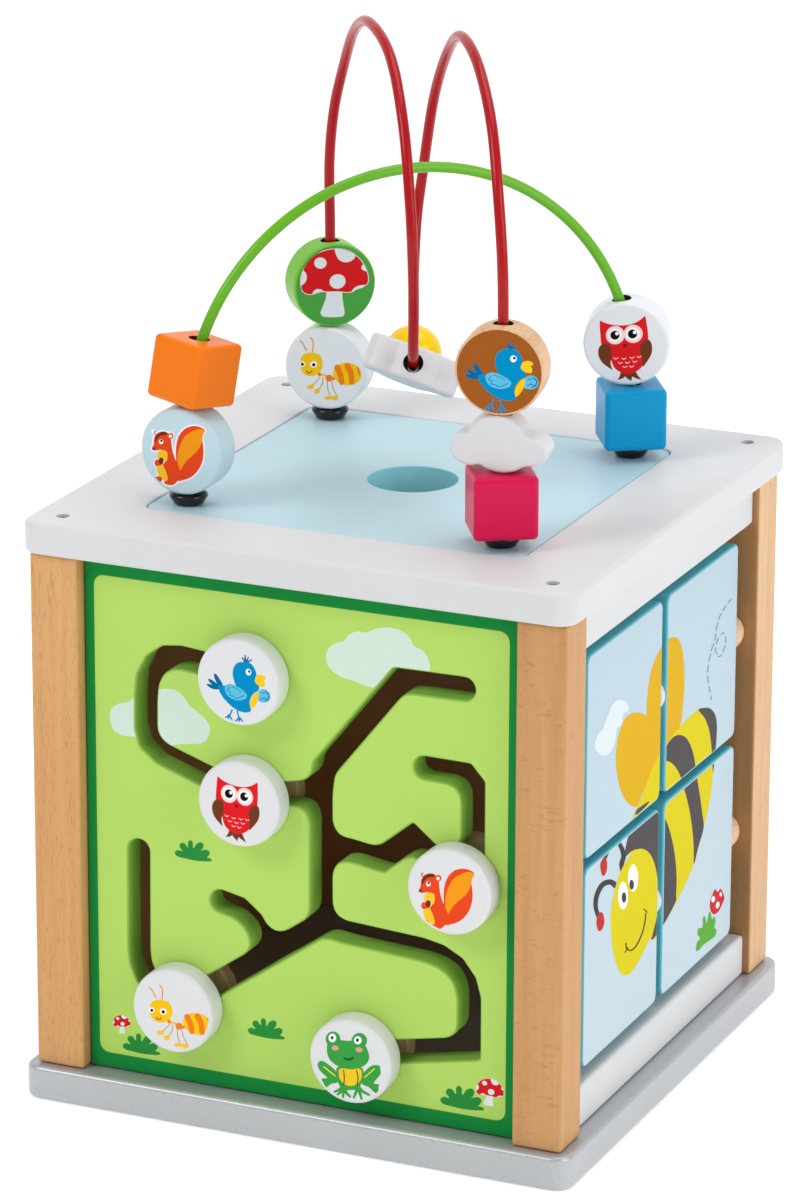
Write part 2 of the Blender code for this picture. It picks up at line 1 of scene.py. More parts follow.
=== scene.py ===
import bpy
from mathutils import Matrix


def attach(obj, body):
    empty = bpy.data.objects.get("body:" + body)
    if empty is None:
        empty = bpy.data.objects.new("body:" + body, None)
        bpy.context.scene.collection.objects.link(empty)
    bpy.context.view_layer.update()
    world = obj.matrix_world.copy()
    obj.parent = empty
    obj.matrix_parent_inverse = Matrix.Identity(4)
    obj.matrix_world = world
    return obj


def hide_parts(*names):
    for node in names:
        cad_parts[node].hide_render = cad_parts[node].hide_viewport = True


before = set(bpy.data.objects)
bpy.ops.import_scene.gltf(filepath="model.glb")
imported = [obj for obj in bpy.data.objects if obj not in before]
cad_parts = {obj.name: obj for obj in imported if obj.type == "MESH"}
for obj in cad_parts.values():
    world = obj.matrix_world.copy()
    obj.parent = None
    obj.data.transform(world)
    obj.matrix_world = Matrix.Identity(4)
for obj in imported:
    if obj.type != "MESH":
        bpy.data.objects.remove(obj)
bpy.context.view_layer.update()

from math import sin, cos, pi, radians, degrees, sqrt, atan2, tan, acos, hypot, floor
import bpy
import bmesh
import numpy as np
from mathutils import Vector, Matrix
from mathutils.geometry import delaunay_2d_cdt, tessellate_polygon

MM = 0.001
scene = bpy.context.scene


# ================================================================ mesh toolkit
def put(name, verts, faces, mats, body, nodes=(), mat_ids=None, smooth=38, flat=(), place=None):
    """A mesh object from verts in mm; it rides on body and stands for the CAD nodes."""
    me = bpy.data.meshes.new(name)
    me.from_pydata([(v[0] * MM, v[1] * MM, v[2] * MM) for v in verts], [], [tuple(f) for f in faces])
    for m in (mats if isinstance(mats, (list, tuple)) else [mats]):
        me.materials.append(m)
    if mat_ids is not None:
        me.polygons.foreach_set("material_index", mat_ids)
    me.validate(clean_customdata=False)
    me.shade_smooth()
    if smooth:
        me.set_sharp_from_angle(angle=radians(smooth))
    me.update()
    ob = bpy.data.objects.new(name, me)
    scene.collection.objects.link(ob)
    if place is not None:
        ob.matrix_world = place
    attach(ob, body)
    if nodes:
        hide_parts(*((nodes,) if isinstance(nodes, str) else nodes))
    return ob


def weighted(ob):
    w = ob.modifiers.new("Weighted", "WEIGHTED_NORMAL")
    w.keep_sharp = True
    w.weight = 60
    return ob


def out_faces(verts, faces):
    """The same faces, all turned outward."""
    bm = bmesh.new()
    bv = [bm.verts.new(v) for v in verts]
    ids = []
    for f in faces:
        try:
            bf = bm.faces.new([bv[i] for i in f])
        except ValueError:
            continue
        ids.append(bf)
    bm.verts.index_update()
    bmesh.ops.recalc_face_normals(bm, faces=bm.faces)
    out = [[v.index for v in f.verts] for f in bm.faces]
    bm.free()
    return out


def rrect(w, h, r, n=8, cx=0.0, cy=0.0):
    r = max(r, 0.01)
    pts = []
    for sx, sy, a0 in ((1, 1, 0), (-1, 1, 90), (-1, -1, 180), (1, -1, 270)):
        for i in range(n + 1):
            a = radians(a0 + 90 * i / n)
            pts.append((cx + sx * (w / 2 - r) + r * cos(a), cy + sy * (h / 2 - r) + r * sin(a)))
    return pts


def circ(r, n, cx=0.0, cy=0.0, a0=0.0):
    return [(cx + r * cos(a0 + 2 * pi * i / n), cy + r * sin(a0 + 2 * pi * i / n)) for i in range(n)]


def shift_ring(pts, d):
    """Every point of a closed ring moved d to the ring's left-hand side (mitred)."""
    n = len(pts)
    out = []
    for i in range(n):
        ax, ay = pts[i - 1]
        bx, by = pts[i]
        cx, cy = pts[(i + 1) % n]
        ux, uy = bx - ax, by - ay
        vx, vy = cx - bx, cy - by
        lu, lv = hypot(ux, uy) or 1, hypot(vx, vy) or 1
        nx, ny = -uy / lu - vy / lv, ux / lu + vx / lv
        ln = hypot(nx, ny) or 1
        nx, ny = nx / ln, ny / ln
        k = max(0.35, nx * -uy / lu + ny * ux / lu)
        out.append((bx + nx * d / k, by + ny * d / k))
    return out


def area2(pts):
    return sum(pts[i - 1][0] * pts[i][1] - pts[i][0] * pts[i - 1][1] for i in range(len(pts)))


AX_Z = lambda a, b, h: (a, b, h)
AX_Y = lambda a, b, h: (a, h, b)
AX_X = lambda a, b, h: (h, a, b)


def plate(outer, holes, z0, z1, axes=AX_Z, r0=0.8, r1=0.8, hr0=None, hr1=None, seg=4):
    """A slab with rounded edges.  outer and each hole are closed rings.  r0 and r1
    round the outer edge at z0 and z1; hr0 and hr1 round the holes' edges.
    Returns verts, faces and a list of (kind, face index) where kind is
    'lo', 'hi', 'side' or 'hole'."""
    hr0 = r0 if hr0 is None else hr0
    hr1 = r1 if hr1 is None else hr1

    def levels(ra, rb):
        lev = []
        if ra > 0:
            for i in range(seg + 1):
                t = pi / 2 * i / seg
                lev.append((ra * (1 - sin(t)), z0 + ra * (1 - cos(t))))
        else:
            lev.append((0, z0))
        if rb > 0:
            for i in range(seg + 1):
                t = pi / 2 * (1 - i / seg)
                lev.append((rb * (1 - sin(t)), z1 - rb * (1 - cos(t))))
        else:
            lev.append((0, z1))
        return lev
    verts, faces, kinds = [], [], []
    rings = [(outer if area2(outer) > 0 else outer[::-1], r0, r1, "side")]
    rings += [(h if area2(h) < 0 else h[::-1], hr0, hr1, "hole") for h in holes]
    lo_loops, hi_loops, lo_idx, hi_idx = [], [], [], []
    for ring, ra, rb, kind in rings:
        lev = levels(ra, rb)
        n = len(ring)
        base = len(verts)
        for d, z in lev:
            for a, b in (shift_ring(ring, d) if d > 1e-6 else ring):
                verts.append(axes(a, b, z))
        for k in range(len(lev) - 1):
            for i in range(n):
                j = (i + 1) % n
                faces.append((base + k * n + i, base + k * n + j, base + (k + 1) * n + j, base + (k + 1) * n + i))
                kinds.append(kind)
        d0, d1 = lev[0][0], lev[-1][0]
        lo_loops.append([Vector((a, b, 0)) for a, b in (shift_ring(ring, d0) if d0 > 1e-6 else ring)])
        hi_loops.append([Vector((a, b, 0)) for a, b in (shift_ring(ring, d1) if d1 > 1e-6 else ring)])
        lo_idx += [base + i for i in range(n)]
        hi_idx += [base + (len(lev) - 1) * n + i for i in range(n)]
    for loops, idx, kind in ((lo_loops, lo_idx, "lo"), (hi_loops, hi_idx, "hi")):
        for tri in tessellate_polygon(loops):
            faces.append(tuple(idx[i] for i in tri))
            kinds.append(kind)
    return verts, faces, kinds


def put_plate(name, data, mats, body, nodes=(), pick=None, smooth=38, place=None):
    verts, faces, kinds = data
    bm = bmesh.new()
    bv = [bm.verts.new(v) for v in verts]
    lay = bm.faces.layers.int.new("kind")
    order = {"lo": 0, "hi": 1, "side": 2, "hole": 3}
    for f, k in zip(faces, kinds):
        try:
            bf = bm.faces.new([bv[i] for i in f])
            bf[lay] = order[k]
        except ValueError:
            pass
    bmesh.ops.recalc_face_normals(bm, faces=bm.faces)
    me = bpy.data.meshes.new(name)
    for v in bm.verts:
        v.co *= MM
    for f in bm.faces:
        f.material_index = pick[f[lay]] if pick else 0
    bm.to_mesh(me)
    bm.free()
    for m in (mats if isinstance(mats, (list, tuple)) else [mats]):
        me.materials.append(m)
    me.shade_smooth()
    me.set_sharp_from_angle(angle=radians(smooth))
    ob = bpy.data.objects.new(name, me)
    scene.collection.objects.link(ob)
    if place is not None:
        ob.matrix_world = place
    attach(ob, body)
    if nodes:
        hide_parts(*((nodes,) if isinstance(nodes, str) else nodes))
    return weighted(ob)


def arc(cx, cy, r, a0, a1, n=5):
    return [(cx + r * cos(radians(a0 + (a1 - a0) * i / n)), cy + r * sin(radians(a0 + (a1 - a0) * i / n)))
            for i in range(n + 1)]


def lathe(profile, n, axes=AX_Z, ring=False):
    """Turn a profile of (radius, height) points."""
    verts, faces, rings = [], [], []
    for r, z in profile:
        if r < 1e-6:
            rings.append([len(verts)])
            verts.append(axes(0, 0, z))
        else:
            rings.append(list(range(len(verts), len(verts) + n)))
            verts += [axes(r * cos(2 * pi * i / n), r * sin(2 * pi * i / n), z) for i in range(n)]
    pairs = list(zip(rings, rings[1:]))
    if ring:
        pairs.append((rings[-1], rings[0]))
    for p, q in pairs:
        for i in range(n):
            j = (i + 1) % n
            if len(p) == 1:
                faces.append((p[0], q[i], q[j]))
            elif len(q) == 1:
                faces.append((p[i], p[j], q[0]))
            else:
                faces.append((p[i], p[j], q[j], q[i]))
    return verts, out_faces(verts, faces)


def at(x, y, z, rot=None):
    m = Matrix.Translation(Vector((x, y, z)) * MM)
    return m if rot is None else m @ rot.to_4x4()


def raw(name, verts, faces, mats=(), ids=None):
    me = bpy.data.meshes.new(name)
    me.from_pydata([(v[0] * MM, v[1] * MM, v[2] * MM) for v in verts], [], [tuple(f) for f in faces])
    for m in mats:
        me.materials.append(m)
    ob = bpy.data.objects.new(name, me)
    scene.collection.objects.link(ob)
    return ob


def apply_all(ob):
    """Freeze the modifiers into the mesh."""
    bpy.context.view_layer.update()
    dg = bpy.context.evaluated_depsgraph_get()
    me = bpy.data.meshes.new_from_object(ob.evaluated_get(dg), preserve_all_data_layers=True, depsgraph=dg)
    ob.modifiers.clear()
    ob.data = me
    return ob


def cut(ob, tools, op="DIFFERENCE"):
    """Cut with mesh objects standing in ob's own frame, then drop them."""
    for t in tools:
        b = ob.modifiers.new("cut", "BOOLEAN")
        b.operation = op
        b.solver = "EXACT"
        b.object = t
        b.material_mode = "TRANSFER"
    apply_all(ob)
    for t in tools:
        bpy.data.objects.remove(t, do_unlink=True)
    return ob


def settle(ob, name, body, nodes, place=None, smooth=38):
    """Name, place and hand over an object built in its own frame."""
    ob.name = name
    ob.data.name = name
    ob.data.shade_smooth()
    ob.data.set_sharp_from_angle(angle=radians(smooth))
    if place is not None:
        ob.matrix_world = place
    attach(ob, body)
    if nodes:
        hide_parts(*((nodes,) if isinstance(nodes, str) else nodes))
    return weighted(ob)


def box_faces(lo, hi):
    v = [(x, y, z) for z in (lo[2], hi[2]) for x, y in ((lo[0], lo[1]), (hi[0], lo[1]), (hi[0], hi[1]), (lo[0], hi[1]))]
    f = [(3, 2, 1, 0), (4, 5, 6, 7), (0, 1, 5, 4), (1, 2, 6, 5), (2, 3, 7, 6), (3, 0, 4, 7)]
    return v, f


def round_box(name, lo, hi, r, seg=4):
    v, f = box_faces(lo, hi)
    ob = raw(name, v, f)
    b = ob.modifiers.new("Bevel", "BEVEL")
    b.width, b.segments, b.limit_method = r * MM, seg, "NONE"
    return ob


def prism(outline, z0, z1, axes=AX_Z):
    n = len(outline)
    v = [axes(a, b, z0) for a, b in outline] + [axes(a, b, z1) for a, b in outline]
    f = [tuple(range(n)), tuple(range(n, 2 * n))] + [(i, (i + 1) % n, n + (i + 1) % n, n + i) for i in range(n)]
    return v, out_faces(v, f)


def tool(outline, z0, z1, axes=AX_Z, mats=()):
    v, f = prism(outline, z0, z1, axes)
    return raw("tool", v, f, mats)


def frame_from(z_axis, x_hint):
    z = Vector(z_axis).normalized()
    x = Vector(x_hint)
    x = (x - x.dot(z) * z).normalized()
    y = z.cross(x)
    return Matrix((x, y, z)).transposed()


def sweep(pts, r, n=20):
    """A round tube along a path, with flat ends and a frame carried along it."""
    P = [Vector(p) for p in pts]
    T = []
    for i in range(len(P)):
        a, b = P[max(i - 1, 0)], P[min(i + 1, len(P) - 1)]
        T.append((b - a).normalized())
    ref = Vector((1, 0, 0)) if abs(T[0].x) < 0.9 else Vector((0, 1, 0))
    u = (ref - ref.dot(T[0]) * T[0]).normalized()
    verts, faces = [], []
    for i, (p, t) in enumerate(zip(P, T)):
        u = (u - u.dot(t) * t).normalized()
        w = t.cross(u)
        verts += [tuple(p + (u * cos(2 * pi * k / n) + w * sin(2 * pi * k / n)) * r) for k in range(n)]
    for i in range(len(P) - 1):
        for k in range(n):
            j = (k + 1) % n
            faces.append((i * n + k, i * n + j, (i + 1) * n + j, (i + 1) * n + k))
    faces.append(tuple(range(n))[::-1])
    faces.append(tuple(range((len(P) - 1) * n, len(P) * n)))
    return verts, faces


def smooth_route(via, step):
    """Centripetal Catmull-Rom curve through the via points."""
    P = [Vector(p) for p in via]
    P = [2 * P[0] - P[1]] + P + [2 * P[-1] - P[-2]]
    out = []
    for i in range(1, len(P) - 2):
        p0, p1, p2, p3 = P[i - 1:i + 3]
        t0 = 0.0
        t1 = t0 + (p1 - p0).length ** 0.5
        t2 = t1 + (p2 - p1).length ** 0.5
        t3 = t2 + (p3 - p2).length ** 0.5
        n = max(1, round((p2 - p1).length / step))
        for k in range(n):
            t = t1 + (t2 - t1) * k / n
            a1 = (t1 - t) / (t1 - t0) * p0 + (t - t0) / (t1 - t0) * p1
            a2 = (t2 - t) / (t2 - t1) * p1 + (t - t1) / (t2 - t1) * p2
            a3 = (t3 - t) / (t3 - t2) * p2 + (t - t2) / (t3 - t2) * p3
            b1 = (t2 - t) / (t2 - t0) * a1 + (t - t0) / (t2 - t0) * a2
            b2 = (t3 - t) / (t3 - t1) * a2 + (t - t1) / (t3 - t1) * a3
            out.append((t2 - t) / (t2 - t1) * b1 + (t - t1) / (t2 - t1) * b2)
    out.append(P[-2])
    return out


# ================================================================ drawing toolkit
def spline2(pts, closed=True, n=6):
    """Catmull-Rom through 2-D points."""
    P = [tuple(map(float, p[:2])) for p in pts]
    N = len(P)
    out = []
    m = N if closed else N - 1
    for i in range(m):
        p0 = P[(i - 1) % N] if closed or i > 0 else (2 * P[0][0] - P[1][0], 2 * P[0][1] - P[1][1])
        p1 = P[i]
        p2 = P[(i + 1) % N]
        p3 = P[(i + 2) % N] if closed or i + 2 < N else (2 * P[-1][0] - P[-2][0], 2 * P[-1][1] - P[-2][1])
        for k in range(n):
            t = k / n
            q = []
            for c in (0, 1):
                q.append(0.5 * (2 * p1[c] + (p2[c] - p0[c]) * t + (2 * p0[c] - 5 * p1[c] + 4 * p2[c] - p3[c]) * t * t
                                + (3 * p1[c] - p0[c] - 3 * p2[c] + p3[c]) * t ** 3))
            out.append(tuple(q))
    if not closed:
        out.append(P[-1])
    return out


def blob(*pts, n=6):
    return [spline2(pts, True, n)]


def poly(*pts):
    return [list(pts)]


def ell(cx, cy, rx, ry=None, rot=0.0, n=36):
    ry = rx if ry is None else ry
    c, s = cos(radians(rot)), sin(radians(rot))
    return [[(cx + rx * cos(t) * c - ry * sin(t) * s, cy + rx * cos(t) * s + ry * sin(t) * c)
             for t in (2 * pi * i / n for i in range(n))]]


def pen(pts, w, w1=None, curve=True, n=5, ends=8):
    """A drawn line with round ends; w may taper to w1."""
    P = spline2(pts, False, n) if curve and len(pts) > 2 else [tuple(p) for p in pts]
    w1 = w if w1 is None else w1
    m = len(P) - 1
    R = [(w + (w1 - w) * i / m) / 2 for i in range(m + 1)]
    out = []
    for i in range(m):
        (ax, ay), (bx, by) = P[i], P[i + 1]
        L = hypot(bx - ax, by - ay)
        if L < 1e-6:
            continue
        nx, ny = -(by - ay) / L, (bx - ax) / L
        out.append([(ax + nx * R[i], ay + ny * R[i]), (ax - nx * R[i], ay - ny * R[i]),
                    (bx - nx * R[i + 1], by - ny * R[i + 1]), (bx + nx * R[i + 1], by + ny * R[i + 1])])
    for i in range(m + 1):
        if i in (0, m) or m > 1:
            out.append(circ(R[i], ends, *P[i], a0=0.2))
    return out


def move(shapes, dx=0.0, dy=0.0, s=1.0, rot=0.0, flip=False):
    c, q = cos(radians(rot)), sin(radians(rot))
    f = -1 if flip else 1
    return [[(dx + s * (f * x * c - y * q), dy + s * (f * x * q + y * c)) for x, y in p] for p in shapes]


def inside(pts, P):
    """Which of the points P (n x 2 array) lie in the closed polygon, nonzero winding."""
    wn = np.zeros(len(P), int)
    x, y = P[:, 0], P[:, 1]
    q = np.asarray(pts, float)
    for (x0, y0), (x1, y1) in zip(q, np.roll(q, -1, 0)):
        side = (x1 - x0) * (y - y0) - (x - x0) * (y1 - y0)
        wn += ((y0 <= y) & (y1 > y) & (side > 0)).astype(int)
        wn -= ((y0 > y) & (y1 <= y) & (side < 0)).astype(int)
    return wn != 0


def artwork(name, layers, frame_, body, keep=None, drop=None, lift=0.05, place=None):
    """One flat printed sheet.  layers is a painter's-order list of (ink, shapes); keep
    clips it and drop cuts holes in it.  frame_ is (origin, u, v) in mm."""
    polys = [p for _, shapes in layers for p in shapes] + list(keep or []) + list(drop or [])
    verts, edges = [], []
    for p in polys:
        b = len(verts)
        verts += [Vector((x, y)) for x, y in p]
        edges += [(b + i, b + (i + 1) % len(p)) for i in range(len(p))]
    v2, _, f2, *_ = delaunay_2d_cdt(verts, edges, [], 0, 1e-4, False)
    V = np.array([(v.x, v.y) for v in v2])
    F = np.array([f for f in f2 if len(f) == 3], int)
    C = V[F].mean(1)
    ink = np.full(len(F), -1)
    for k, (_, shapes) in enumerate(layers):
        for p in shapes:
            lo, hi = np.min(p, 0), np.max(p, 0)
            near = np.nonzero((C[:, 0] >= lo[0]) & (C[:, 0] <= hi[0]) & (C[:, 1] >= lo[1]) & (C[:, 1] <= hi[1]))[0]
            if len(near):
                ink[near[inside(p, C[near])]] = k
    ok = ink >= 0
    if keep:
        m = np.zeros(len(C), bool)
        for p in keep:
            m |= inside(p, C)
        ok &= m
    for p in drop or []:
        ok &= ~inside(p, C)
    A = V[F]
    ar = np.abs((A[:, 1, 0] - A[:, 0, 0]) * (A[:, 2, 1] - A[:, 0, 1]) - (A[:, 2, 0] - A[:, 0, 0]) * (A[:, 1, 1] - A[:, 0, 1]))
    ok &= ar > 1e-7
    F, ink = F[ok], ink[ok]
    inks, slots = [], {}
    ids = []
    for k in ink:
        nm = layers[k][0]
        if nm not in slots:
            slots[nm] = len(inks)
            inks.append(INK(nm))
        ids.append(slots[nm])
    O, U, W = (Vector(q) for q in frame_)
    N = U.cross(W).normalized()
    used = sorted(set(F.ravel()))
    at_ = {v: i for i, v in enumerate(used)}
    verts3 = [tuple(O + U * V[v][0] + W * V[v][1] + N * lift) for v in used]
    faces = []
    for a, b, c in F:
        t = (V[b] - V[a])[0] * (V[c] - V[a])[1] - (V[b] - V[a])[1] * (V[c] - V[a])[0]
        faces.append((at_[a], at_[b], at_[c]) if t > 0 else (at_[a], at_[c], at_[b]))
    me = bpy.data.meshes.new(name)
    me.from_pydata([(x * MM, y * MM, z * MM) for x, y, z in verts3], [], faces)
    for m in inks:
        me.materials.append(m)
    me.polygons.foreach_set("material_index", ids)
    me.update()
    ob = bpy.data.objects.new(name, me)
    scene.collection.objects.link(ob)
    if place is not None:
        ob.matrix_world = place
    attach(ob, body)
    return ob


# ================================================================ materials
def lin(c):
    return tuple(((v / 255) / 12.92 if v / 255 <= 0.04045 else ((v / 255 + 0.055) / 1.055) ** 2.4) for v in c)


_mats = {}


class Nodes:
    def __init__(self, name):
        self.m = bpy.data.materials.new(name)
        self.m.use_nodes = True
        self.t = self.m.node_tree
        self.b = self.t.nodes["Principled BSDF"]
        self.coord = self.t.nodes.new("ShaderNodeTexCoord").outputs["Object"]

    def new(self, kind, **kw):
        n = self.t.nodes.new(kind)
        for k, v in kw.items():
            setattr(n, k, v)
        return n

    def link(self, a, b):
        self.t.links.new(a, b)
        return self

    def mapped(self, scale, rot=(0, 0, 0), loc=(0, 0, 0)):
        n = self.new("ShaderNodeMapping")
        n.inputs["Scale"].default_value = scale
        n.inputs["Rotation"].default_value = rot
        n.inputs["Location"].default_value = loc
        self.link(self.coord, n.inputs["Vector"])
        return n.outputs[0]

    def noise(self, vec, scale, detail=4.0, rough=0.55, dist=0.0):
        n = self.new("ShaderNodeTexNoise")
        n.inputs["Scale"].default_value = scale
        n.inputs["Detail"].default_value = detail
        n.inputs["Roughness"].default_value = rough
        n.inputs["Distortion"].default_value = dist
        self.link(vec, n.inputs["Vector"])
        return n.outputs["Fac"]

    def ramp(self, fac, stops):
        n = self.new("ShaderNodeValToRGB")
        e = n.color_ramp.elements
        while len(e) > 1:
            e.remove(e[-1])
        e[0].position, e[0].color = stops[0][0], (*stops[0][1], 1)
        for p, c in stops[1:]:
            x = e.new(p)
            x.color = (*c, 1)
        self.link(fac, n.inputs[0])
        return n.outputs["Color"]

    def span(self, fac, a, b, c, d):
        n = self.new("ShaderNodeMapRange")
        for i, v in zip((1, 2, 3, 4), (a, b, c, d)):
            n.inputs[i].default_value = v
        self.link(fac, n.inputs[0])
        return n.outputs[0]

    def mix(self, fac, a, b, blend="MIX"):
        n = self.new("ShaderNodeMix", data_type="RGBA", blend_type=blend)
        for v, s in ((fac, n.inputs[0]), (a, n.inputs[6]), (b, n.inputs[7])):
            if isinstance(v, (int, float)):
                s.default_value = v
            elif isinstance(v, tuple):
                s.default_value = (*v, 1)
            else:
                self.link(v, s)
        return n.outputs[2]

    def math(self, op, a, b=None):
        n = self.new("ShaderNodeMath", operation=op)
        for v, s in ((a, n.inputs[0]), (b, n.inputs[1])):
            if v is None:
                continue
            if isinstance(v, (int, float)):
                s.default_value = v
            else:
                self.link(v, s)
        return n.outputs[0]

    def bump(self, h, strength, dist, prev=None):
        n = self.new("ShaderNodeBump")
        n.inputs["Strength"].default_value = strength
        n.inputs["Distance"].default_value = dist
        self.link(h, n.inputs["Height"])
        if prev is not None:
            self.link(prev, n.inputs["Normal"])
        self.link(n.outputs[0], self.b.inputs["Normal"])
        return n.outputs[0]

    def done(self, **vals):
        for k, v in vals.items():
            s = self.b.inputs[k.replace("_", " ")]
            if isinstance(v, (int, float)):
                s.default_value = v
            elif isinstance(v, tuple):
                s.default_value = (*v, 1)
            else:
                self.link(v, s)
        return self.m


def paint(name, rgb, rough=0.36, var=0.035, peel=0.12, coat=0.0, seed=0.0, spec=0.14, rv=0.045):
    """Sprayed paint on wood: faint mottling, orange peel and a slightly uneven roughness."""
    if name in _mats:
        return _mats[name]
    N = Nodes(name)
    c = lin(rgb)
    v = N.mapped((1, 1, 1), loc=(seed, seed * 0.7, 0))
    broad = N.noise(v, 22, 3)
    fine = N.noise(v, 700, 2)
    dark = tuple(x * (1 - var) for x in c)
    light = tuple(min(1, x * (1 + var * 0.7)) for x in c)
    col = N.ramp(broad, [(0.3, dark), (0.7, light)])
    r = N.span(N.noise(v, 160, 4), 0.3, 0.7, rough - rv, rough + rv)
    N.bump(fine, peel, 0.00008)
    _mats[name] = N.done(Base_Color=col, Roughness=r, Coat_Weight=coat, Coat_Roughness=0.12, Specular_IOR_Level=spec)
    return _mats[name]


def INK(name):
    """A flat printed colour with a slightly uneven sheen."""
    key = "ink_" + name
    if key in _mats:
        return _mats[key]
    N = Nodes(key)
    r = N.span(N.noise(N.mapped((1, 1, 1)), 260, 3), 0.3, 0.7, 0.30, 0.40)
    _mats[key] = N.done(Base_Color=lin(INKS[name]), Roughness=r, Specular_IOR_Level=0.02)
    return _mats[key]


def beech(name, axis=2, base=(205, 155, 105), dark=(176, 122, 74), light=(222, 178, 130), flecks=0.0, ticks=0.35,
          rough=0.44, seed=0.0, fleck_axis=0):
    """Straight-grained beech: soft streaks, short pore ticks and ray flecks across them."""
    if name in _mats:
        return _mats[name]
    N = Nodes(name)
    s = [1.0, 1.0, 1.0]
    s[axis] = 0.045
    v = N.mapped(tuple(s), loc=(seed, seed, seed))
    streak = N.noise(v, 260, 6, 0.6, 0.15)
    wide = N.noise(v, 60, 3, 0.5, 0.3)
    f = N.math("ADD", N.math("MULTIPLY", streak, 0.55), N.math("MULTIPLY", wide, 0.45))
    col = N.ramp(f, [(0.30, lin(dark)), (0.5, lin(base)), (0.70, lin(light))])
    if ticks:
        t = [1.0, 1.0, 1.0]
        t[axis] = 0.14
        pores = N.noise(N.mapped(tuple(t), loc=(seed + 3, 1, 2)), 1700, 1, 0.4)
        col = N.mix(N.math("MULTIPLY", N.span(pores, 0.60, 0.68, 0, 1), ticks), col, lin((150, 98, 55)))
    if flecks:
        t = [1.0, 1.0, 1.0]
        t[axis] = 1.0
        t[fleck_axis] = 0.28
        ray = N.noise(N.mapped(tuple(t), loc=(seed, 5, 1)), 760, 1, 0.4, 0.0)
        thin = N.noise(N.mapped((1, 1, 1), loc=(seed, 2, 4)), 90, 2, 0.5)
        k = N.math("MULTIPLY", N.span(ray, 0.60, 0.68, 0, 1), N.span(thin, 0.42, 0.62, 0.1, 1))
        col = N.mix(N.math("MULTIPLY", k, flecks), col, lin((168, 116, 66)))
    N.bump(streak, 0.10, 0.0002)
    r = N.span(streak, 0.3, 0.7, rough - 0.05, rough + 0.06)
    _mats[name] = N.done(Base_Color=col, Roughness=r, Specular_IOR_Level=0.26)
    return _mats[name]
# ================================================================ camera, light, floor
def camera():
    cd = bpy.data.cameras.new("Camera")
    cam = bpy.data.objects.new("Camera", cd)
    scene.collection.objects.link(cam)
    d = Vector((-0.3846, 0.8702, -0.3080)).normalized()
    r = d.cross(Vector((0, 0, 1))).normalized()
    u = r.cross(d)
    c, s = cos(radians(0.21)), sin(radians(0.21))
    right, up = r * c + u * s, u * c - r * s
    m = Matrix((right, up, -d)).transposed().to_4x4()
    m.translation = Vector((0.9594, -2.1789, 0.9750))
    cam.matrix_world = m
    cd.sensor_width = 36
    cd.sensor_fit = "AUTO"
    cd.lens = 174.54
    cd.clip_start, cd.clip_end = 0.05, 50
    scene.camera = cam


camera()
scene.view_settings.view_transform = "Standard"
scene.view_settings.look = "None"
scene.view_settings.exposure = 0.0
scene.view_settings.gamma = 1.0


def area(name, loc, aim, size, power, colour=(1, 1, 1), size_y=None):
    ld = bpy.data.lights.new(name, "AREA")
    ld.energy = power
    ld.color = colour
    ld.size = size
    if size_y:
        ld.shape, ld.size_y = "RECTANGLE", size_y
    ob = bpy.data.objects.new(name, ld)
    scene.collection.objects.link(ob)
    ob.location = loc
    ob.rotation_mode = "QUATERNION"
    ob.rotation_quaternion = (Vector(aim) - Vector(loc)).to_track_quat("-Z", "Y")
    return ob


KEY = area("key_softbox", (-1.5, -2.0, 2.3), (0, 0, 0.24), 1.3, 34)
FILL = area("fill_right", (2.4, -0.5, 1.1), (0, 0, 0.2), 1.6, 24)
TOP = area("top_softbox", (0.2, 0.4, 2.6), (0, 0, 0.25), 1.8, 25)
world = bpy.data.worlds.new("studio")
scene.world = world
world.use_nodes = True
world.node_tree.nodes["Background"].inputs[0].default_value = (1, 1, 1, 1)
world.node_tree.nodes["Background"].inputs[1].default_value = 0.41


def floor_mat():
    N = Nodes("studio_floor")
    n = N.noise(N.mapped((1, 1, 1)), 3.0, 2)
    col = N.ramp(n, [(0.3, (0.90, 0.90, 0.905)), (0.7, (0.93, 0.93, 0.932))])
    return N.done(Base_Color=col, Roughness=0.65, Specular_IOR_Level=0.2, Emission_Color=(1.0, 1.0, 1.0), Emission_Strength=0.30)


def studio():
    prof = []
    verts, faces = [], []
    depth = [(-6.0, 0.0), (3.0, 0.0)] + [(3.0 + 1.2 * sin(radians(a)), 1.2 - 1.2 * cos(radians(a))) for a in range(10, 91, 10)]
    depth += [(4.2, 5.0)]
    d = Vector((-0.404, 0.915, 0))
    r = Vector((0.915, 0.404, 0))
    for t, z in depth:
        for s in (-8, 8):
            p = d * t + r * s
            verts.append((p.x * 1000, p.y * 1000, z * 1000 - 0.02))
    for i in range(len(depth) - 1):
        faces.append((2 * i, 2 * i + 1, 2 * i + 3, 2 * i + 2))
    ob = raw("studio_sweep", verts, faces, [floor_mat()])
    ob.data.shade_smooth()
    return ob


studio()

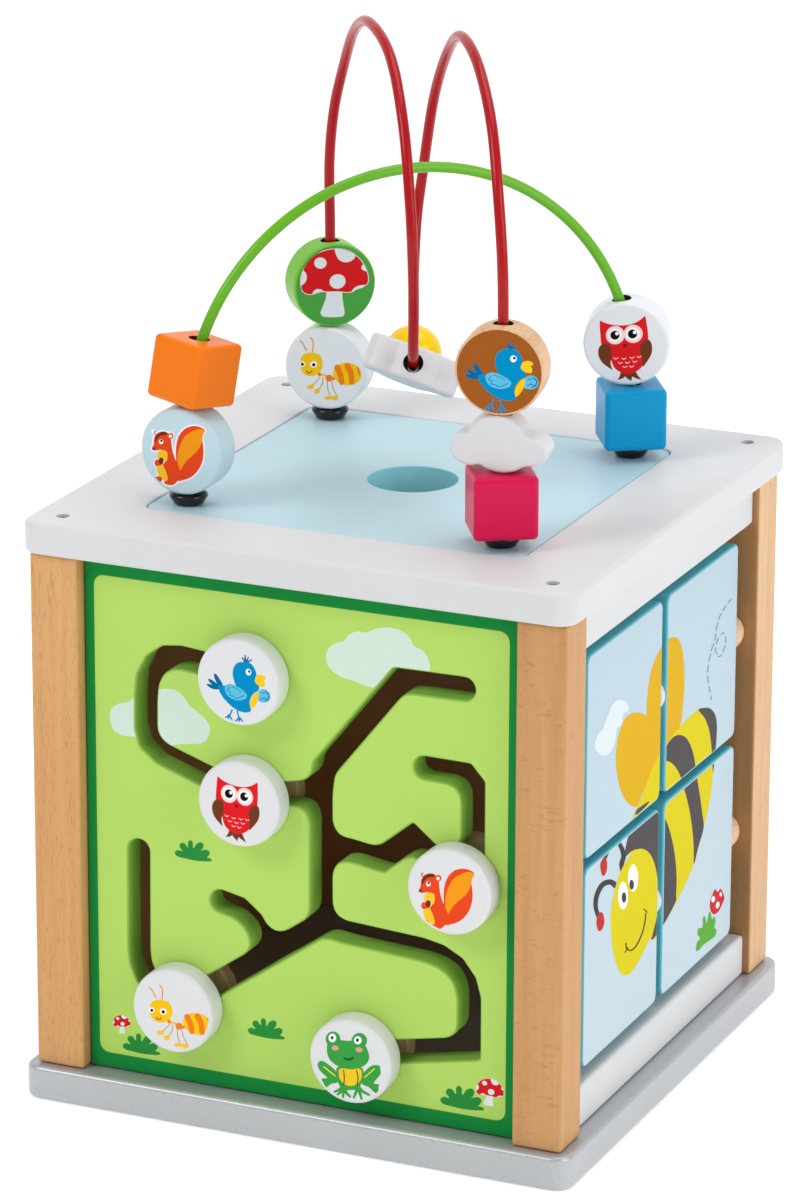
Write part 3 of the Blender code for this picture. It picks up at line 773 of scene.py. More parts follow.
# ================================================================ inks
INKS = {
    "black": (20, 18, 18), "white": (246, 246, 247), "offwhite": (232, 236, 236),
    "bird_blue": (0, 140, 195), "bird_dark": (0, 104, 160), "bird_light": (96, 188, 222), "bird_yellow": (250, 200, 30),
    "owl_red": (222, 32, 38), "owl_dark": (150, 22, 28), "owl_brown": (112, 58, 34), "owl_pink": (250, 214, 216),
    "sq_orange": (232, 74, 34), "sq_amber": (245, 155, 30), "sq_yellow": (246, 200, 44), "sq_brown": (112, 52, 28),
    "ant_yellow": (248, 196, 26), "ant_orange": (240, 128, 28), "ant_line": (206, 150, 30),
    "frog_green": (60, 160, 70), "frog_dark": (24, 104, 48), "frog_belly": (240, 226, 90), "pink": (232, 92, 120),
    "cap_red": (214, 32, 36), "stem": (240, 232, 214), "stem_shade": (204, 200, 182),
    "maze_dark": (28, 138, 62), "maze_light": (180, 217, 106), "maze_cloud": (208, 228, 214), "grass": (44, 140, 62),
    "grass_dark": (24, 112, 50), "maze_edge": (120, 176, 70),
    "bee_yellow": (216, 201, 0), "bee_grey": (78, 73, 76), "bee_line": (62, 58, 60), "wing": (218, 171, 0),
    "wing_edge": (222, 166, 10), "bee_red": (192, 40, 38), "trail": (120, 150, 170), "sky_cloud": (218, 228, 233),
    "flower_red": (200, 36, 46), "leaf": (92, 168, 54), "leaf_dark": (60, 132, 54), "hill": (150, 200, 104),
    "sun": (250, 212, 70), "petal": (240, 120, 150), "clock_ring": (245, 247, 248), "clock_blue": (40, 140, 190),
    "clock_red": (206, 48, 48), "clock_green": (86, 168, 74), "ink_navy": (30, 70, 120), "panel_cloud": (236, 244, 247),
    "tile_edge": (225, 238, 244), "brown_face": (160, 90, 34), "sq_face": (196, 220, 229), "halo": (240, 246, 248),
}

# ================================================================ paints and woods
WHITE_PAINT = paint("white_satin", (214, 215, 217), 0.40, 0.02, 0.10)
BASE_PAINT = None


def silver_paint():
    N = Nodes("silver_base_paint")
    v = N.mapped((1, 1, 1))
    fine = N.noise(v, 2600, 2)
    broad = N.noise(v, 30, 3)
    a = N.ramp(fine, [(0.35, lin((166, 169, 173))), (0.65, lin((194, 197, 201)))])
    col = N.mix(N.span(broad, 0.3, 0.7, 0.0, 0.12), a, lin((206, 209, 213)))
    N.bump(fine, 0.10, 0.00006)
    r = N.span(fine, 0.3, 0.7, 0.30, 0.42)
    return N.done(Base_Color=col, Roughness=r, Metallic=0.35, Coat_Weight=0.25, Coat_Roughness=0.2)


SILVER = silver_paint()
LID_PAINT = paint("lid_sky_blue", (184, 214, 225), 0.34, 0.025, 0.05)
TEAL = paint("teal_edge", (92, 184, 198), 0.42, 0.05, 0.15)
HOLE_TEAL = paint("lid_hole_teal", (152, 222, 236), 0.45, 0.05, 0.2)
BEECH_FL = beech("beech_front_left", 2, (214, 161, 105), (202, 147, 92), (222, 173, 118), 0.0, 0.28, seed=1.3)
BEECH_FR = beech("beech_front_right", 2, (200, 149, 96), (186, 134, 82), (209, 161, 110), 0.42, 0.12, seed=4.1)
BEECH_BACK = beech("beech_back", 2, (222, 180, 136), (209, 163, 117), (232, 192, 150), 0.15, 0.22, seed=7.7)
# Darker copy of the back beech: painted shade for the back-right post's inner face in the narrow gap beside the tiles.
BEECH_PAINTED_SHADE = beech("beech_painted_shade_inner_side", 2, (182, 134, 88), (166, 118, 74), (194, 146, 100), 0.15, 0.22, seed=7.7)
DOWEL = beech("beech_dowel", 1, (222, 182, 140), (200, 152, 106), (236, 204, 166), 0.0, 0.35, seed=2.2)
TURNED = beech("beech_turned", 1, (226, 192, 158), (206, 164, 124), (238, 212, 182), 0.0, 0.3, seed=9.4)
BATTEN = beech("beech_batten", 1, (214, 178, 136), (190, 148, 104), (228, 198, 160), 0.0, 0.35, seed=3.8)
RETAINER = beech("plywood_retainer", 2, (210, 176, 132), (184, 146, 100), (226, 196, 156), 0.0, 0.35, seed=5.9)
BLACK_PLASTIC = paint("black_plastic", (16, 16, 18), 0.2, 0.05, 0.03, coat=0.6)
RED_COAT = paint("red_wire_coat", (172, 16, 22), 0.24, 0.03, 0.02, coat=0.22)
GREEN_COAT = paint("green_wire_coat", (104, 178, 34), 0.24, 0.03, 0.02, coat=0.3)
BEAD_WHITE = paint("bead_white", (215, 216, 219), 0.34, 0.012, 0.03, coat=0.1)
KNOB_WHITE = paint("knob_white", (222, 223, 226), 0.34, 0.012, 0.03, coat=0.08)
COIN_WHITE = paint("coin_white", (229, 232, 236), 0.34, 0.012, 0.03, coat=0.1)
ORANGE = paint("bead_orange", (243, 122, 14), 0.30, 0.02, 0.02, coat=0.06, rv=0.015)
PINK = paint("bead_pink", (214, 14, 76), 0.30, 0.02, 0.02, coat=0.06, rv=0.015)
BLUE = paint("bead_blue", (0, 150, 204), 0.30, 0.02, 0.02, coat=0.06, rv=0.015)
YELLOW = paint("bead_yellow", (250, 208, 0), 0.22, 0.02, 0.02, coat=0.4)
COIN_GREEN_RIM = paint("coin_green_rim", (118, 188, 58), 0.3, 0.03, 0.02, coat=0.06, rv=0.015)
COIN_GREEN = paint("coin_green_face", (70, 160, 62), 0.3, 0.02, 0.02, coat=0.1)
COIN_BLUE = paint("coin_light_blue", (196, 222, 231), 0.32, 0.02, 0.02, coat=0.1)
COIN_WOOD = beech("coin_pale_wood", 1, (222, 182, 142), (198, 150, 106), (236, 204, 168), 0.0, 0.35, seed=6.1)
BOARD_BROWN = paint("fibreboard_inside", (226, 172, 118), 0.7, 0.10, 0.3)
MAZE_WALL = paint("maze_light_green", (180, 217, 106), 0.42, 0.03, 0.12)
MAZE_DARK = paint("maze_border_green", (28, 138, 62), 0.40, 0.04, 0.12)
# Slot walls: a darker copy of the light-green paint, painted shade on the routed walls.
MAZE_SLOT_SHADE = paint("maze_slot_green_painted_shade", (150, 196, 84), 0.5, 0.05, 0.15)
PANEL_BLUE = paint("panel_sky_blue", (160, 208, 226), 0.40, 0.03, 0.10)
PANEL_YELLOW = paint("panel_warm_yellow", (246, 214, 110), 0.40, 0.03, 0.10)
GEAR_RED = paint("gear_red_satin", (206, 44, 44), 0.34, 0.03, 0.08)
GEAR_YELLOW = paint("gear_yellow_satin", (248, 202, 40), 0.34, 0.03, 0.08)
GEAR_GREEN = paint("gear_green_satin", (112, 182, 74), 0.34, 0.03, 0.08)
HAND_BLUE = paint("hand_blue", (16, 128, 188), 0.34, 0.03, 0.08)
HAND_RED = paint("hand_red", (206, 44, 44), 0.34, 0.03, 0.08)
STEEL = None


def screw_steel():
    N = Nodes("screw_zinc")
    n = N.noise(N.mapped((1, 1, 1)), 1400, 3)
    col = N.ramp(n, [(0.3, lin((150, 152, 156))), (0.7, lin((196, 198, 202)))])
    return N.done(Base_Color=col, Metallic=1.0, Roughness=N.span(n, 0.3, 0.7, 0.28, 0.42))


STEEL = screw_steel()

# ================================================================ carcass
MAZE_Y0, MAZE_Y1 = -115.2, -103.2
POST, POST_C = 22.0, 110.5
SIDE_Z0, SIDE_Z1 = 15.3, 244.7
LEG = 71.5

put_plate("base", plate(rrect(253, 253, 8, 10), [], 0, 15, r0=2.0, r1=2.0, seg=5), SILVER, "carcass", "base_board")

for tag, sx, sy, mat in (("fl", -1, -1, BEECH_FL), ("fr", 1, -1, BEECH_FR), ("bl", -1, 1, BEECH_BACK), ("br", 1, 1, BEECH_BACK)):
    h = POST / 2
    ob = round_box("p", (-h, -h, SIDE_Z0), (h, h, SIDE_Z1), 1.3, 4)
    ob.data.materials.append(mat)
    apply_all(ob)
    if tag in ("fr", "br"):
        y0, y1 = (98.0 - POST_C, 109.0 - POST_C) if sy > 0 else (-109.0 + POST_C, -98.0 + POST_C)
        cut(ob, [tool(circ(4.5, 32, 108.6 - POST_C, zc), y0, y1, AX_Y) for zc in (83.5, 176.5)])
    # The back-right post's inner face (facing -Y) takes the darker beech copy: painted shade in the gap beside the
    # tiles.
    if tag == "br":
        ob.data.materials.append(BEECH_PAINTED_SHADE)
        for p in ob.data.polygons:
            if p.normal.y < -0.8:
                p.material_index = 1
    settle(ob, "post_" + {"fl": "front_left", "fr": "front_right", "bl": "back_left", "br": "back_right"}[tag],
           "carcass", "post_" + tag, at(sx * POST_C, sy * POST_C, 0))

screws = [(sx * 110.8, sy * 110.8) for sx in (-1, 1) for sy in (-1, 1)]
TF = plate(rrect(250, 250, 9, 12), [rrect(173, 173, 7, 10)] , 245, 259, r0=2.0, r1=2.2, hr0=0.6, hr1=0.9, seg=5)


def top_slab():
    verts, faces, kinds = TF
    ob = raw("slab", verts, out_faces(verts, faces), [WHITE_PAINT])
    cut(ob, [tool(circ(2.9, 28, x, y), 256.8, 262) for x, y in screws])
    return settle(ob, "top_slab", "carcass", "top_frame")


top_slab()


def screw_head(x, y, k):
    """A small countersunk cross-head screw sunk in its recess."""
    prof = [(0, 256.9), (2.55, 256.9), (2.6, 257.35)] + arc(1.9, 257.35, 0.7, 0, 70, 4) + [(0, 258.2)]
    v, f = lathe(prof, 32)
    ob = raw("s", v, f, [STEEL])
    a = 20 + 35 * k
    tools = []
    for t in (a, a + 90):
        c, s = cos(radians(t)), sin(radians(t))
        q = [(-1.5, -0.22), (1.5, -0.22), (1.5, 0.22), (-1.5, 0.22)]
        tools.append(tool([(p * c - w * s, p * s + w * c) for p, w in q], 257.4 + 0.01 * len(tools), 262 + len(tools)))
    cut(ob, tools)
    settle(ob, "slab_screw_%d" % (k + 1), "carcass", (), at(x, y, 0))


for k, (x, y) in enumerate(screws):
    screw_head(x, y, k)

for tag, sx in (("left", -1), ("right", 1)):
    ob = round_box("b", (-11, -98, 233), (11, 98, 244.7), 1.0, 3)
    ob.data.materials.append(BATTEN)
    apply_all(ob)
    settle(ob, "batten_" + tag, "carcass", "lid_batten_" + tag, at(sx * 87, 0, 0))

# ---------------------------------------------------------------- lid
put_plate("lid_board", plate(rrect(172, 172, 6.5, 10),
                             [circ(19.5, 72)] + [circ(2.8, 24, sx * LEG, sy * LEG) for sx in (-1, 1) for sy in (-1, 1)],
                             245, 258.7, r0=0.6, r1=0.8, hr0=0.3, hr1=0.5, seg=4),
          [LID_PAINT, HOLE_TEAL], "lid", "lid_panel", pick=(0, 0, 0, 1))
for tag, sx, sy in (("fl", -1, -1), ("fr", 1, -1), ("bl", -1, 1), ("br", 1, 1)):
    prof = [(2.8, 259.0), (5.9, 259.0)] + arc(5.9, 259.6, 0.6, -90, -20, 4)[1:] + arc(6.85, 262.55, 1.38, -24, 90, 10) \
        + arc(3.4, 263.33, 0.6, 90, 180, 4)
    v, f = lathe(prof, 48, ring=True)
    put("grommet_ring_" + tag, v, f, BLACK_PLASTIC, "lid", "grommet_" + tag, smooth=50, place=at(sx * LEG, sy * LEG, 0))

# ---------------------------------------------------------------- wires
WIRE_R = 2.3
ARC_Z = 294.0
ARC_R = LEG * sqrt(2)


def green_point(deg):
    a = radians(deg)
    s = -ARC_R * cos(a) / sqrt(2)
    return (s, s, ARC_Z + ARC_R * sin(a))


DIP_Z, DIP_R = 370.0, 59.5
DIP_DIR = Vector((0.404, -0.915, 0.0)).normalized()


def dip_point(deg):
    a = radians(deg)
    return tuple(DIP_DIR * DIP_R * sin(a) + Vector((0, 0, DIP_Z - DIP_R * cos(a))))


def dip_tangent(deg):
    a = radians(deg)
    return DIP_DIR * cos(a) + Vector((0, 0, sin(a)))


RED_VIA = [(-71.5, 71.5, 262), (-71.5, 71.5, 300), (-71.5, 71.5, 345), (-71.5, 71, 376),
           (-68, 68, 399), (-60, 60, 420), (-44, 37, 443), (-25, 9.5, 453.5), (-3, -18.5, 447),
           (13, -41, 425), (22, -53.5, 393), (23.5, -53.5, 362)]
RED_VIA += [dip_point(d) for d in (44, 30, 15, 0, -15, -30, -44)]
RED_VIA += [(-22.5, 54, 357), (-20.5, 56.5, 380), (-12.5, 49, 413),
            (3, 27.5, 439), (20.5, 1, 453.5), (40, -27, 450), (57, -51.5, 431),
            (67, -67, 404), (71, -71.5, 376), (71.5, -71.5, 345), (71.5, -71.5, 300),
            (71.5, -71.5, 262)]
green = [(-LEG, -LEG, 246.0), (-LEG, -LEG, 262.0), (-LEG, -LEG, 280.0)] + [green_point(2.0 * i) for i in range(91)] \
    + [(LEG, LEG, 280.0), (LEG, LEG, 262.0), (LEG, LEG, 246.0)]
v, f = sweep(green, WIRE_R - 0.01, 20)
put("green_wire", v, f, GREEN_COAT, "lid", "wire_green", smooth=60)
red = [Vector((-LEG, LEG, 246))] + smooth_route(RED_VIA, 3.0) + [Vector((LEG, -LEG, 246))]
for p in red:
    p.z -= 0.35 * max(0.0, p.z - 440) / 14
v, f = sweep(red, WIRE_R - 0.01, 20)
put("red_wire", v, f, RED_COAT, "lid", "wire_red", smooth=60)

# ---------------------------------------------------------------- beads
COIN_R, COIN_T, CUBE, BORE = 18.75, 15.0, 27.0, 4.25


def turn(deg):
    return Matrix.Rotation(radians(deg), 3, "Z")


def bore_tool(mat, flare=0.0, half=14.0, n=32):
    prof = [(0, -half - 3), (BORE + flare * 1.5, -half - 3), (BORE + flare, -half), (BORE, -half + 1.2 if flare else -half + 1),
            (BORE, half - 1.2 if flare else half - 1), (BORE + flare, half), (BORE + flare * 1.5, half + 3), (0, half + 3)]
    v, f = lathe(prof, n)
    return raw("bore", v, f, [mat])


# Dark brown on the walls of every bead bore is painted shade inside the holes, darker than the bare wood there.
BORE_PAINTED_SHADE = paint("bead_bore_painted_shade", (70, 52, 40), 0.7, 0.1, 0.3)


def coin(name, body, mats, loc, rot, ids=None):
    """A turned wooden disc, soft edges, bored through its rim along Z."""
    h, R, e = COIN_T / 2, COIN_R, 1.5
    front = [(0, -h), (R - e - 0.001, -h)] + arc(R - e, -h + e, e, -90, 0, 6)[1:]
    back = arc(R - e, h - e, e, 0, 90, 6) + [(0, h)]
    v, f = lathe(front + back, 96, AX_Y)
    ob = raw("coin", v, f, mats)
    ob.data.polygons.foreach_set("material_index", [
        (1 if len(mats) > 2 and p.center.y < 0 and abs(p.normal.y) > 0.92 else 0) for p in ob.data.polygons])
    cut(ob, [bore_tool(BORE_PAINTED_SHADE, 0.0, 20)])
    return settle(ob, name, body, "bead_" + name, at(*loc, rot), smooth=30)


def cube(name, body, mat, loc, rot):
    h = CUBE / 2
    ob = round_box("c", (-h, -h, -h), (h, h, h), 2.2, 5)
    ob.data.materials.append(mat)
    apply_all(ob)
    cut(ob, [bore_tool(BORE_PAINTED_SHADE, 0.35, 13.5)])
    return settle(ob, name, body, "bead_" + name, at(*loc, rot), smooth=30)


CLOUD = [(-20.5, -2.5), (-19.5, 1.5), (-16.5, 4.0), (-13.5, 4.8), (-12.0, 7.5), (-8.0, 10.8),
         (-2.0, 12.2), (3.5, 11.6), (8.0, 9.0), (10.5, 5.2), (12.8, 3.6), (17.0, 2.6),
         (20.0, -0.5), (20.3, -4.0), (17.5, -7.2), (13.0, -8.4), (10.5, -8.8), (6.5, -11.0),
         (1.0, -12.0), (-4.5, -11.0), (-8.0, -9.2), (-12.5, -9.6), (-17.0, -8.2), (-20.0, -5.5)]
CLOUD_H = 24.2


def cloud(name, body, loc, rot):
    ring = [(x, y - 0.1) for x, y in spline2(CLOUD, True, 5)][::-1]
    v, f, k = plate(ring, [], -7.5, 7.5, lambda a, b, h: (a, -h, b), r0=1.6, r1=1.6, seg=5)
    ob = raw("cloud", v, out_faces(v, f), [BEAD_WHITE])
    cut(ob, [bore_tool(BORE_PAINTED_SHADE, 0.0, 20)])
    return settle(ob, name, body, "bead_" + name, at(*loc, rot), smooth=32)


STOP = 264.3
z = STOP + COIN_R
ANT_AT = at(-LEG, LEG, z, turn(8))
coin("ant_coin", "ant_coin", [COIN_WHITE], (-LEG, LEG, z), turn(8))
z += 2 * COIN_R + 0.3
MUSH_AT = at(-LEG, LEG, z, turn(43))
coin("mushroom_coin", "mushroom_coin", [COIN_GREEN_RIM, COIN_GREEN, COIN_GREEN], (-LEG, LEG, z), turn(43))
z = STOP + CUBE / 2
cube("pink_cube", "pink_cube", PINK, (LEG, -LEG, z), turn(32))
z += CUBE / 2 + 0.3
cloud("cloud_low", "cloud_low", (LEG, -LEG, z + CLOUD_H / 2), turn(11))
z += CLOUD_H + 0.3
BIRD_AT = at(LEG, -LEG, z + COIN_R, turn(11))
coin("bird_coin", "bird_coin", [COIN_WOOD], (LEG, -LEG, z + COIN_R), turn(11))
z = STOP + COIN_R
SQ_AT = at(-LEG, -LEG, z, turn(0))
coin("squirrel_coin", "squirrel_coin", [COIN_BLUE], (-LEG, -LEG, z), turn(0))


def on_arc(deg, face_deg, toward):
    a = radians(deg)
    k = sin(a) / sqrt(2) * toward
    tang = Vector((k, k, cos(a)))
    face = Matrix.Rotation(radians(face_deg), 3, "Z") @ Vector((1, 0, 0))
    return frame_from(tang, face)


ORANGE_DEG, ORANGE_LEAN, OWL_DEG = 13.0, 9.2, 9.8
slack = Vector((cos(radians(ORANGE_DEG)) / sqrt(2), cos(radians(ORANGE_DEG)) / sqrt(2), -sin(radians(ORANGE_DEG)))) * 0.5
cube("orange_cube", "orange_cube", ORANGE, tuple(Vector(green_point(ORANGE_DEG)) + slack), on_arc(ORANGE_LEAN, -17, 1))
cube("blue_cube", "blue_cube", BLUE, (LEG, LEG, STOP + CUBE / 2), turn(32))
hang = Vector((-cos(radians(OWL_DEG)) / sqrt(2), -cos(radians(OWL_DEG)) / sqrt(2), -sin(radians(OWL_DEG)))) * 0.6
OWL_AT = at(*(Vector(green_point(180 - OWL_DEG)) + hang), on_arc(OWL_DEG, 17, -1))
coin("owl_coin", "owl_coin", [COIN_WHITE], tuple(Vector(green_point(180 - OWL_DEG)) + hang), on_arc(OWL_DEG, 17, -1))
side = Vector((0.915, 0.404, 0.0))
tang = dip_tangent(22.5)
cloud("cloud_high", "cloud_high", dip_point(22.5), frame_from(-tang, Matrix.Rotation(radians(-20), 3, tang) @ side))


def ball():
    prof = [(12.25 * sin(radians(a)), -12.25 * cos(radians(a))) for a in range(0, 181, 5)]
    prof[0], prof[-1] = (0, -12.25), (0, 12.25)
    v, f = lathe(prof, 64)
    ob = raw("ball", v, f, [YELLOW])
    cut(ob, [bore_tool(BORE_PAINTED_SHADE, 0.0, 14)])
    settle(ob, "yellow_ball", "yellow_ball", "bead_yellow_ball", at(*dip_point(-10), frame_from(dip_tangent(-10), side)), smooth=30)


ball()

# ---------------------------------------------------------------- maze panel
PATHS = [
    [(-23, 202.5), (-54, 205.6), (-61, 204.8), (-66.5, 200.8), (-70, 194), (-70.8, 186), (-71, 172), (-69.5, 166.5), (-64, 162),
     (-41, 154.3), (-23, 149), (9.7, 156.0)],
    [(74, 210), (45, 209.7), (11, 166.4), (9.7, 156.0), (9.7, 96.8)],
    [(9.7, 132), (23.4, 132), (37, 130), (51.5, 142), (72.5, 125)],
    [(56.7, 173.3), (74.8, 173), (78.4, 169), (78.4, 138), (72.5, 125)],
    [(9.7, 96.8), (-54.5, 51.2), (-67, 55.5), (-72, 60), (-74.6, 66), (-75.3, 72), (-75, 117)],
    [(-36.6, 100), (-28, 98.2), (-22, 93.5), (-17, 85.6), (-13.3, 80.5)],
    [(9.7, 96.8), (21, 95.3), (56, 93.2), (64, 91.6), (70.8, 88), (75.4, 82), (77.3, 75), (77.3, 52.3), (28, 42.3)],
]


def seg_dist(P, a, b):
    a, b = np.array(a, float), np.array(b, float)
    ab = b - a
    t = np.clip(((P - a) @ ab) / max(ab @ ab, 1e-12), 0, 1)
    return np.hypot(*(P - (a + t[:, None] * ab)).T)


def slot_loops(paths, width, soft, step=0.5):
    """Outlines of the routed slots: square outer bends, and inner bends rounded to soft."""
    h = width / 2
    shapes = []
    for path in paths:
        P = [np.array(p, float) for p in path]
        N = []
        for a, b in zip(P, P[1:]):
            d = (b - a) / np.hypot(*(b - a))
            n = np.array([-d[1], d[0]])
            N.append(n)
            shapes.append([a + n * h, a - n * h, b - n * h, b + n * h])
        for i in range(1, len(P) - 1):
            n1, n2 = N[i - 1], N[i]
            s = -1 if n1[0] * n2[1] - n1[1] * n2[0] > 0 else 1
            n1, n2 = n1 * s, n2 * s
            m = (n1 + n2) / max(1 + n1 @ n2, 0.55) * h
            shapes.append([P[i], P[i] + n1 * h, P[i] + m, P[i] + n2 * h])
        for e in (P[0], P[-1]):
            shapes.append([np.array(q) for q in circ(h, 40, *e)])
    lo, hi = (-94.0, 28.0), (94.0, 226.0)
    xs = np.arange(lo[0], hi[0] + step, step)
    zs = np.arange(lo[1], hi[1] + step, step)
    X, Z = np.meshgrid(xs, zs)
    F = np.full(X.shape, 99.0)
    pts = np.stack([X.ravel(), Z.ravel()], 1)
    flat = F.ravel()
    for s in shapes:
        q = np.array(s)
        a, b = q.min(0) - soft - 2, q.max(0) + soft + 2
        near = np.nonzero((pts[:, 0] > a[0]) & (pts[:, 0] < b[0]) & (pts[:, 1] > a[1]) & (pts[:, 1] < b[1]))[0]
        d = np.min([seg_dist(pts[near], q[i - 1], q[i]) for i in range(len(q))], 0)
        d[inside(q, pts[near])] *= -1
        flat[near] = np.minimum(flat[near], d)
    F = flat.reshape(X.shape) - soft
    # marching squares
    nz, nx = F.shape
    segs = {}
    S = F < 0
    cells = np.nonzero((S[:-1, :-1] != S[1:, 1:]) | (S[:-1, 1:] != S[1:, :-1]) | (S[:-1, :-1] != S[:-1, 1:]))

    def pt(kind, i, j):
        if kind == "h":
            a, b = F[i, j], F[i, j + 1]
            return (xs[j] + step * a / (a - b), zs[i])
        a, b = F[i, j], F[i + 1, j]
        return (xs[j], zs[i] + step * a / (a - b))
    for i, j in zip(*cells):
        c = [S[i, j], S[i, j + 1], S[i + 1, j + 1], S[i + 1, j]]
        e = [("h", i, j), ("v", i, j + 1), ("h", i + 1, j), ("v", i, j)]
        cr = [k for k in range(4) if c[k] != c[(k + 1) % 4]]
        if len(cr) == 2:
            k0, k1 = cr
            if not c[(k0 + 1) % 4]:
                k0, k1 = k1, k0
            segs.setdefault(e[k0], []).append(e[k1])
        elif len(cr) == 4:
            for k in (0, 2):
                k0, k1 = (k, (k + 1) % 4) if c[(k + 1) % 4] else (k, (k - 1) % 4)
                segs.setdefault(e[k0], []).append(e[k1])
    nxt = {a: b[0] for a, b in segs.items()}
    loops, seen = [], set()
    for s in list(nxt):
        if s in seen:
            continue
        loop, k = [], s
        while k in nxt and k not in seen:
            seen.add(k)
            loop.append(pt(*k))
            k = nxt[k]
        if k == s and len(loop) > 12:
            loops.append(loop)
    out = []
    for loop in loops:
        q = np.array(loop)
        for _ in range(1):
            q = 0.5 * q + 0.25 * (np.roll(q, 1, 0) + np.roll(q, -1, 0))
        # step back towards the slot by `soft`
        side = 1 if area2([tuple(p) for p in q]) > 0 else -1
        n = len(q)
        res = []
        probe = {}
        for i in range(n):
            a, b, c = q[i - 3], q[i], q[(i + 3) % n]
            d1, d2 = (b - a), (c - b)
            d1, d2 = d1 / np.hypot(*d1), d2 / np.hypot(*d2)
            t = d1 + d2
            t /= np.hypot(*t)
            res.append((b, np.array([-t[1], t[0]])))
        # which side is the slot on
        b, nn = res[0]
        fx = lambda p: F[int(round((p[1] - zs[0]) / step)), int(round((p[0] - xs[0]) / step))]
        sg = 1 if fx(b + nn * 2) < fx(b - nn * 2) else -1
        P2 = [b + nn * sg * soft for b, nn in res]
        # resample evenly
        P2 = np.array(P2)
        L = np.hypot(*(np.roll(P2, -1, 0) - P2).T)
        keep = [P2[0]]
        for p in P2[1:]:
            if np.hypot(*(p - keep[-1])) > 0.85:
                keep.append(p)
        keep = np.array(keep)
        keep = 0.6 * keep + 0.2 * (np.roll(keep, 1, 0) + np.roll(keep, -1, 0))
        out.append([tuple(p) for p in keep])
    return out


SLOT_LOOPS = slot_loops(PATHS, 10.0, 6.5)
# loops with material inside them are islands held by nothing; every slot region here is simple or joins the trunk
def maze():
    big = [l for l in SLOT_LOOPS]
    v, f, k = plate([(-99.2, SIDE_Z0), (99.2, SIDE_Z0), (99.2, SIDE_Z1), (-99.2, SIDE_Z1)], big, MAZE_Y0, MAZE_Y1,
                    AX_Y, r0=0.9, r1=0.6, hr0=0.9, hr1=0.5, seg=3)
    # The slot walls and their rounded front edges take the darker green copy: painted shade.
    return put_plate("maze_board", (v, f, k), [MAZE_WALL, BOARD_BROWN, MAZE_DARK, MAZE_SLOT_SHADE], "carcass", "maze_panel",
                     pick=(0, 1, 2, 3), smooth=32)


maze()

KNOB_Y = -126.42
KNOBS = {"bird": (-23, 202.5), "owl": (-23, 149), "squirrel": (72.5, 125), "ant": (-54.5, 51.2), "frog": (28, 42.3)}
for nm, (x, zc) in KNOBS.items():
    e = 1.7
    prof = [(0, KNOB_Y), (COIN_R - e, KNOB_Y)] + arc(COIN_R - e, KNOB_Y + e, e, -90, 0, 6)[1:] \
        + arc(COIN_R - 1.1, -115.5 - 1.1, 1.1, 0, 90, 4) + [(4.0, -115.5), (4.0, -96.4), (3.4, -95.9), (0, -95.9)]
    v, f = lathe(prof, 96, AX_Y)
    put("knob_disc_" + nm, v, f, KNOB_WHITE, "knob_" + nm, "knob_" + nm, smooth=30, place=at(x, 0, zc))
    prof = [(4.4, -102.9)] + arc(15.7, -102.1, 0.8, -90, 0, 3) + arc(15.7, -95.8, 0.8, 0, 90, 3) + [(4.4, -95.0)]
    v, f = lathe(prof, 64, AX_Y, ring=True)
    put("retainer_disc_" + nm, v, f, RETAINER, "knob_" + nm, "retainer_" + nm, smooth=40, place=at(x, 0, zc))

# ---------------------------------------------------------------- tile side
for tag, z0, z1 in (("low", SIDE_Z0, 34.0), ("top", 226.0, SIDE_Z1)):
    ob = round_box("r", (104.5, -99.2, z0), (118.5, 99.2, z1), 1.6, 4)
    ob.data.materials.append(WHITE_PAINT)
    apply_all(ob)
    settle(ob, "side_rail_" + tag, "carcass", "rail_" + tag)
AXLE_X = 108.6
ROWS = (("low", 83.5), ("top", 176.5))
for tag, zc in ROWS:
    v, f = lathe([(0, -107.5), (3.6, -107.5), (4.0, -107.1), (4.0, 107.1), (3.6, 107.5), (0, 107.5)], 40, AX_Y)
    put("dowel_" + tag, v, f, DOWEL, "carcass", "tile_dowel_" + tag, smooth=40, place=at(AXLE_X, 0, zc))
    for sd, s in (("front", -1), ("back", 1)):
        m, h = (87.05 + 99.2) / 2, (99.2 - 87.05) / 2
        prof = [(4.5, -h), (5.4, -h)] + [(6.0 + 2.25 * sqrt(max(0, 1 - (t / h) ** 2)) * 1.0, t) for t in
                                          [(-h + 0.15) + (2 * h - 0.3) * i / 12 for i in range(13)]] + [(5.4, h), (4.5, h)]
        v, f = lathe(prof, 48, AX_Y, ring=True)
        put("collar_bead_%s_%s" % (tag, sd), v, f, TURNED, "carcass", "collar_%s_%s" % (tag, sd), smooth=50, place=at(AXLE_X, s * m, zc))
    prof = [(4.5, -2.4), (7.5, -2.4), (8.0, -1.9), (8.0, 1.9), (7.5, 2.4), (4.5, 2.4)]
    v, f = lathe(prof, 48, AX_Y, ring=True)
    put("spacer_ring_" + tag, v, f, WHITE_PAINT, "carcass", "spacer_" + tag, smooth=40, place=at(AXLE_X, 0, zc))


def tile_face(name, z_lo, z_hi):
    """Printed sky, deeper above and paler below."""
    if name in _mats:
        return _mats[name]
    N = Nodes(name)
    s = N.new("ShaderNodeSeparateXYZ")
    N.link(N.coord, s.inputs[0])
    a, b = lin((190, 209, 220)), lin((176, 200, 212))
    g = N.span(s.outputs[2], z_lo, z_hi, 0.0, 1.0)
    n = N.noise(N.coord, 30, 3)
    col = N.mix(g, a, b)
    col = N.mix(N.span(n, 0.3, 0.7, 0.0, 0.06), col, lin((206, 220, 228)))
    N.bump(N.noise(N.coord, 800, 2), 0.06, 0.00006)
    _mats[name] = N.done(Base_Color=col, Roughness=N.span(n, 0.3, 0.7, 0.28, 0.36), Specular_IOR_Level=0.14)
    return _mats[name]


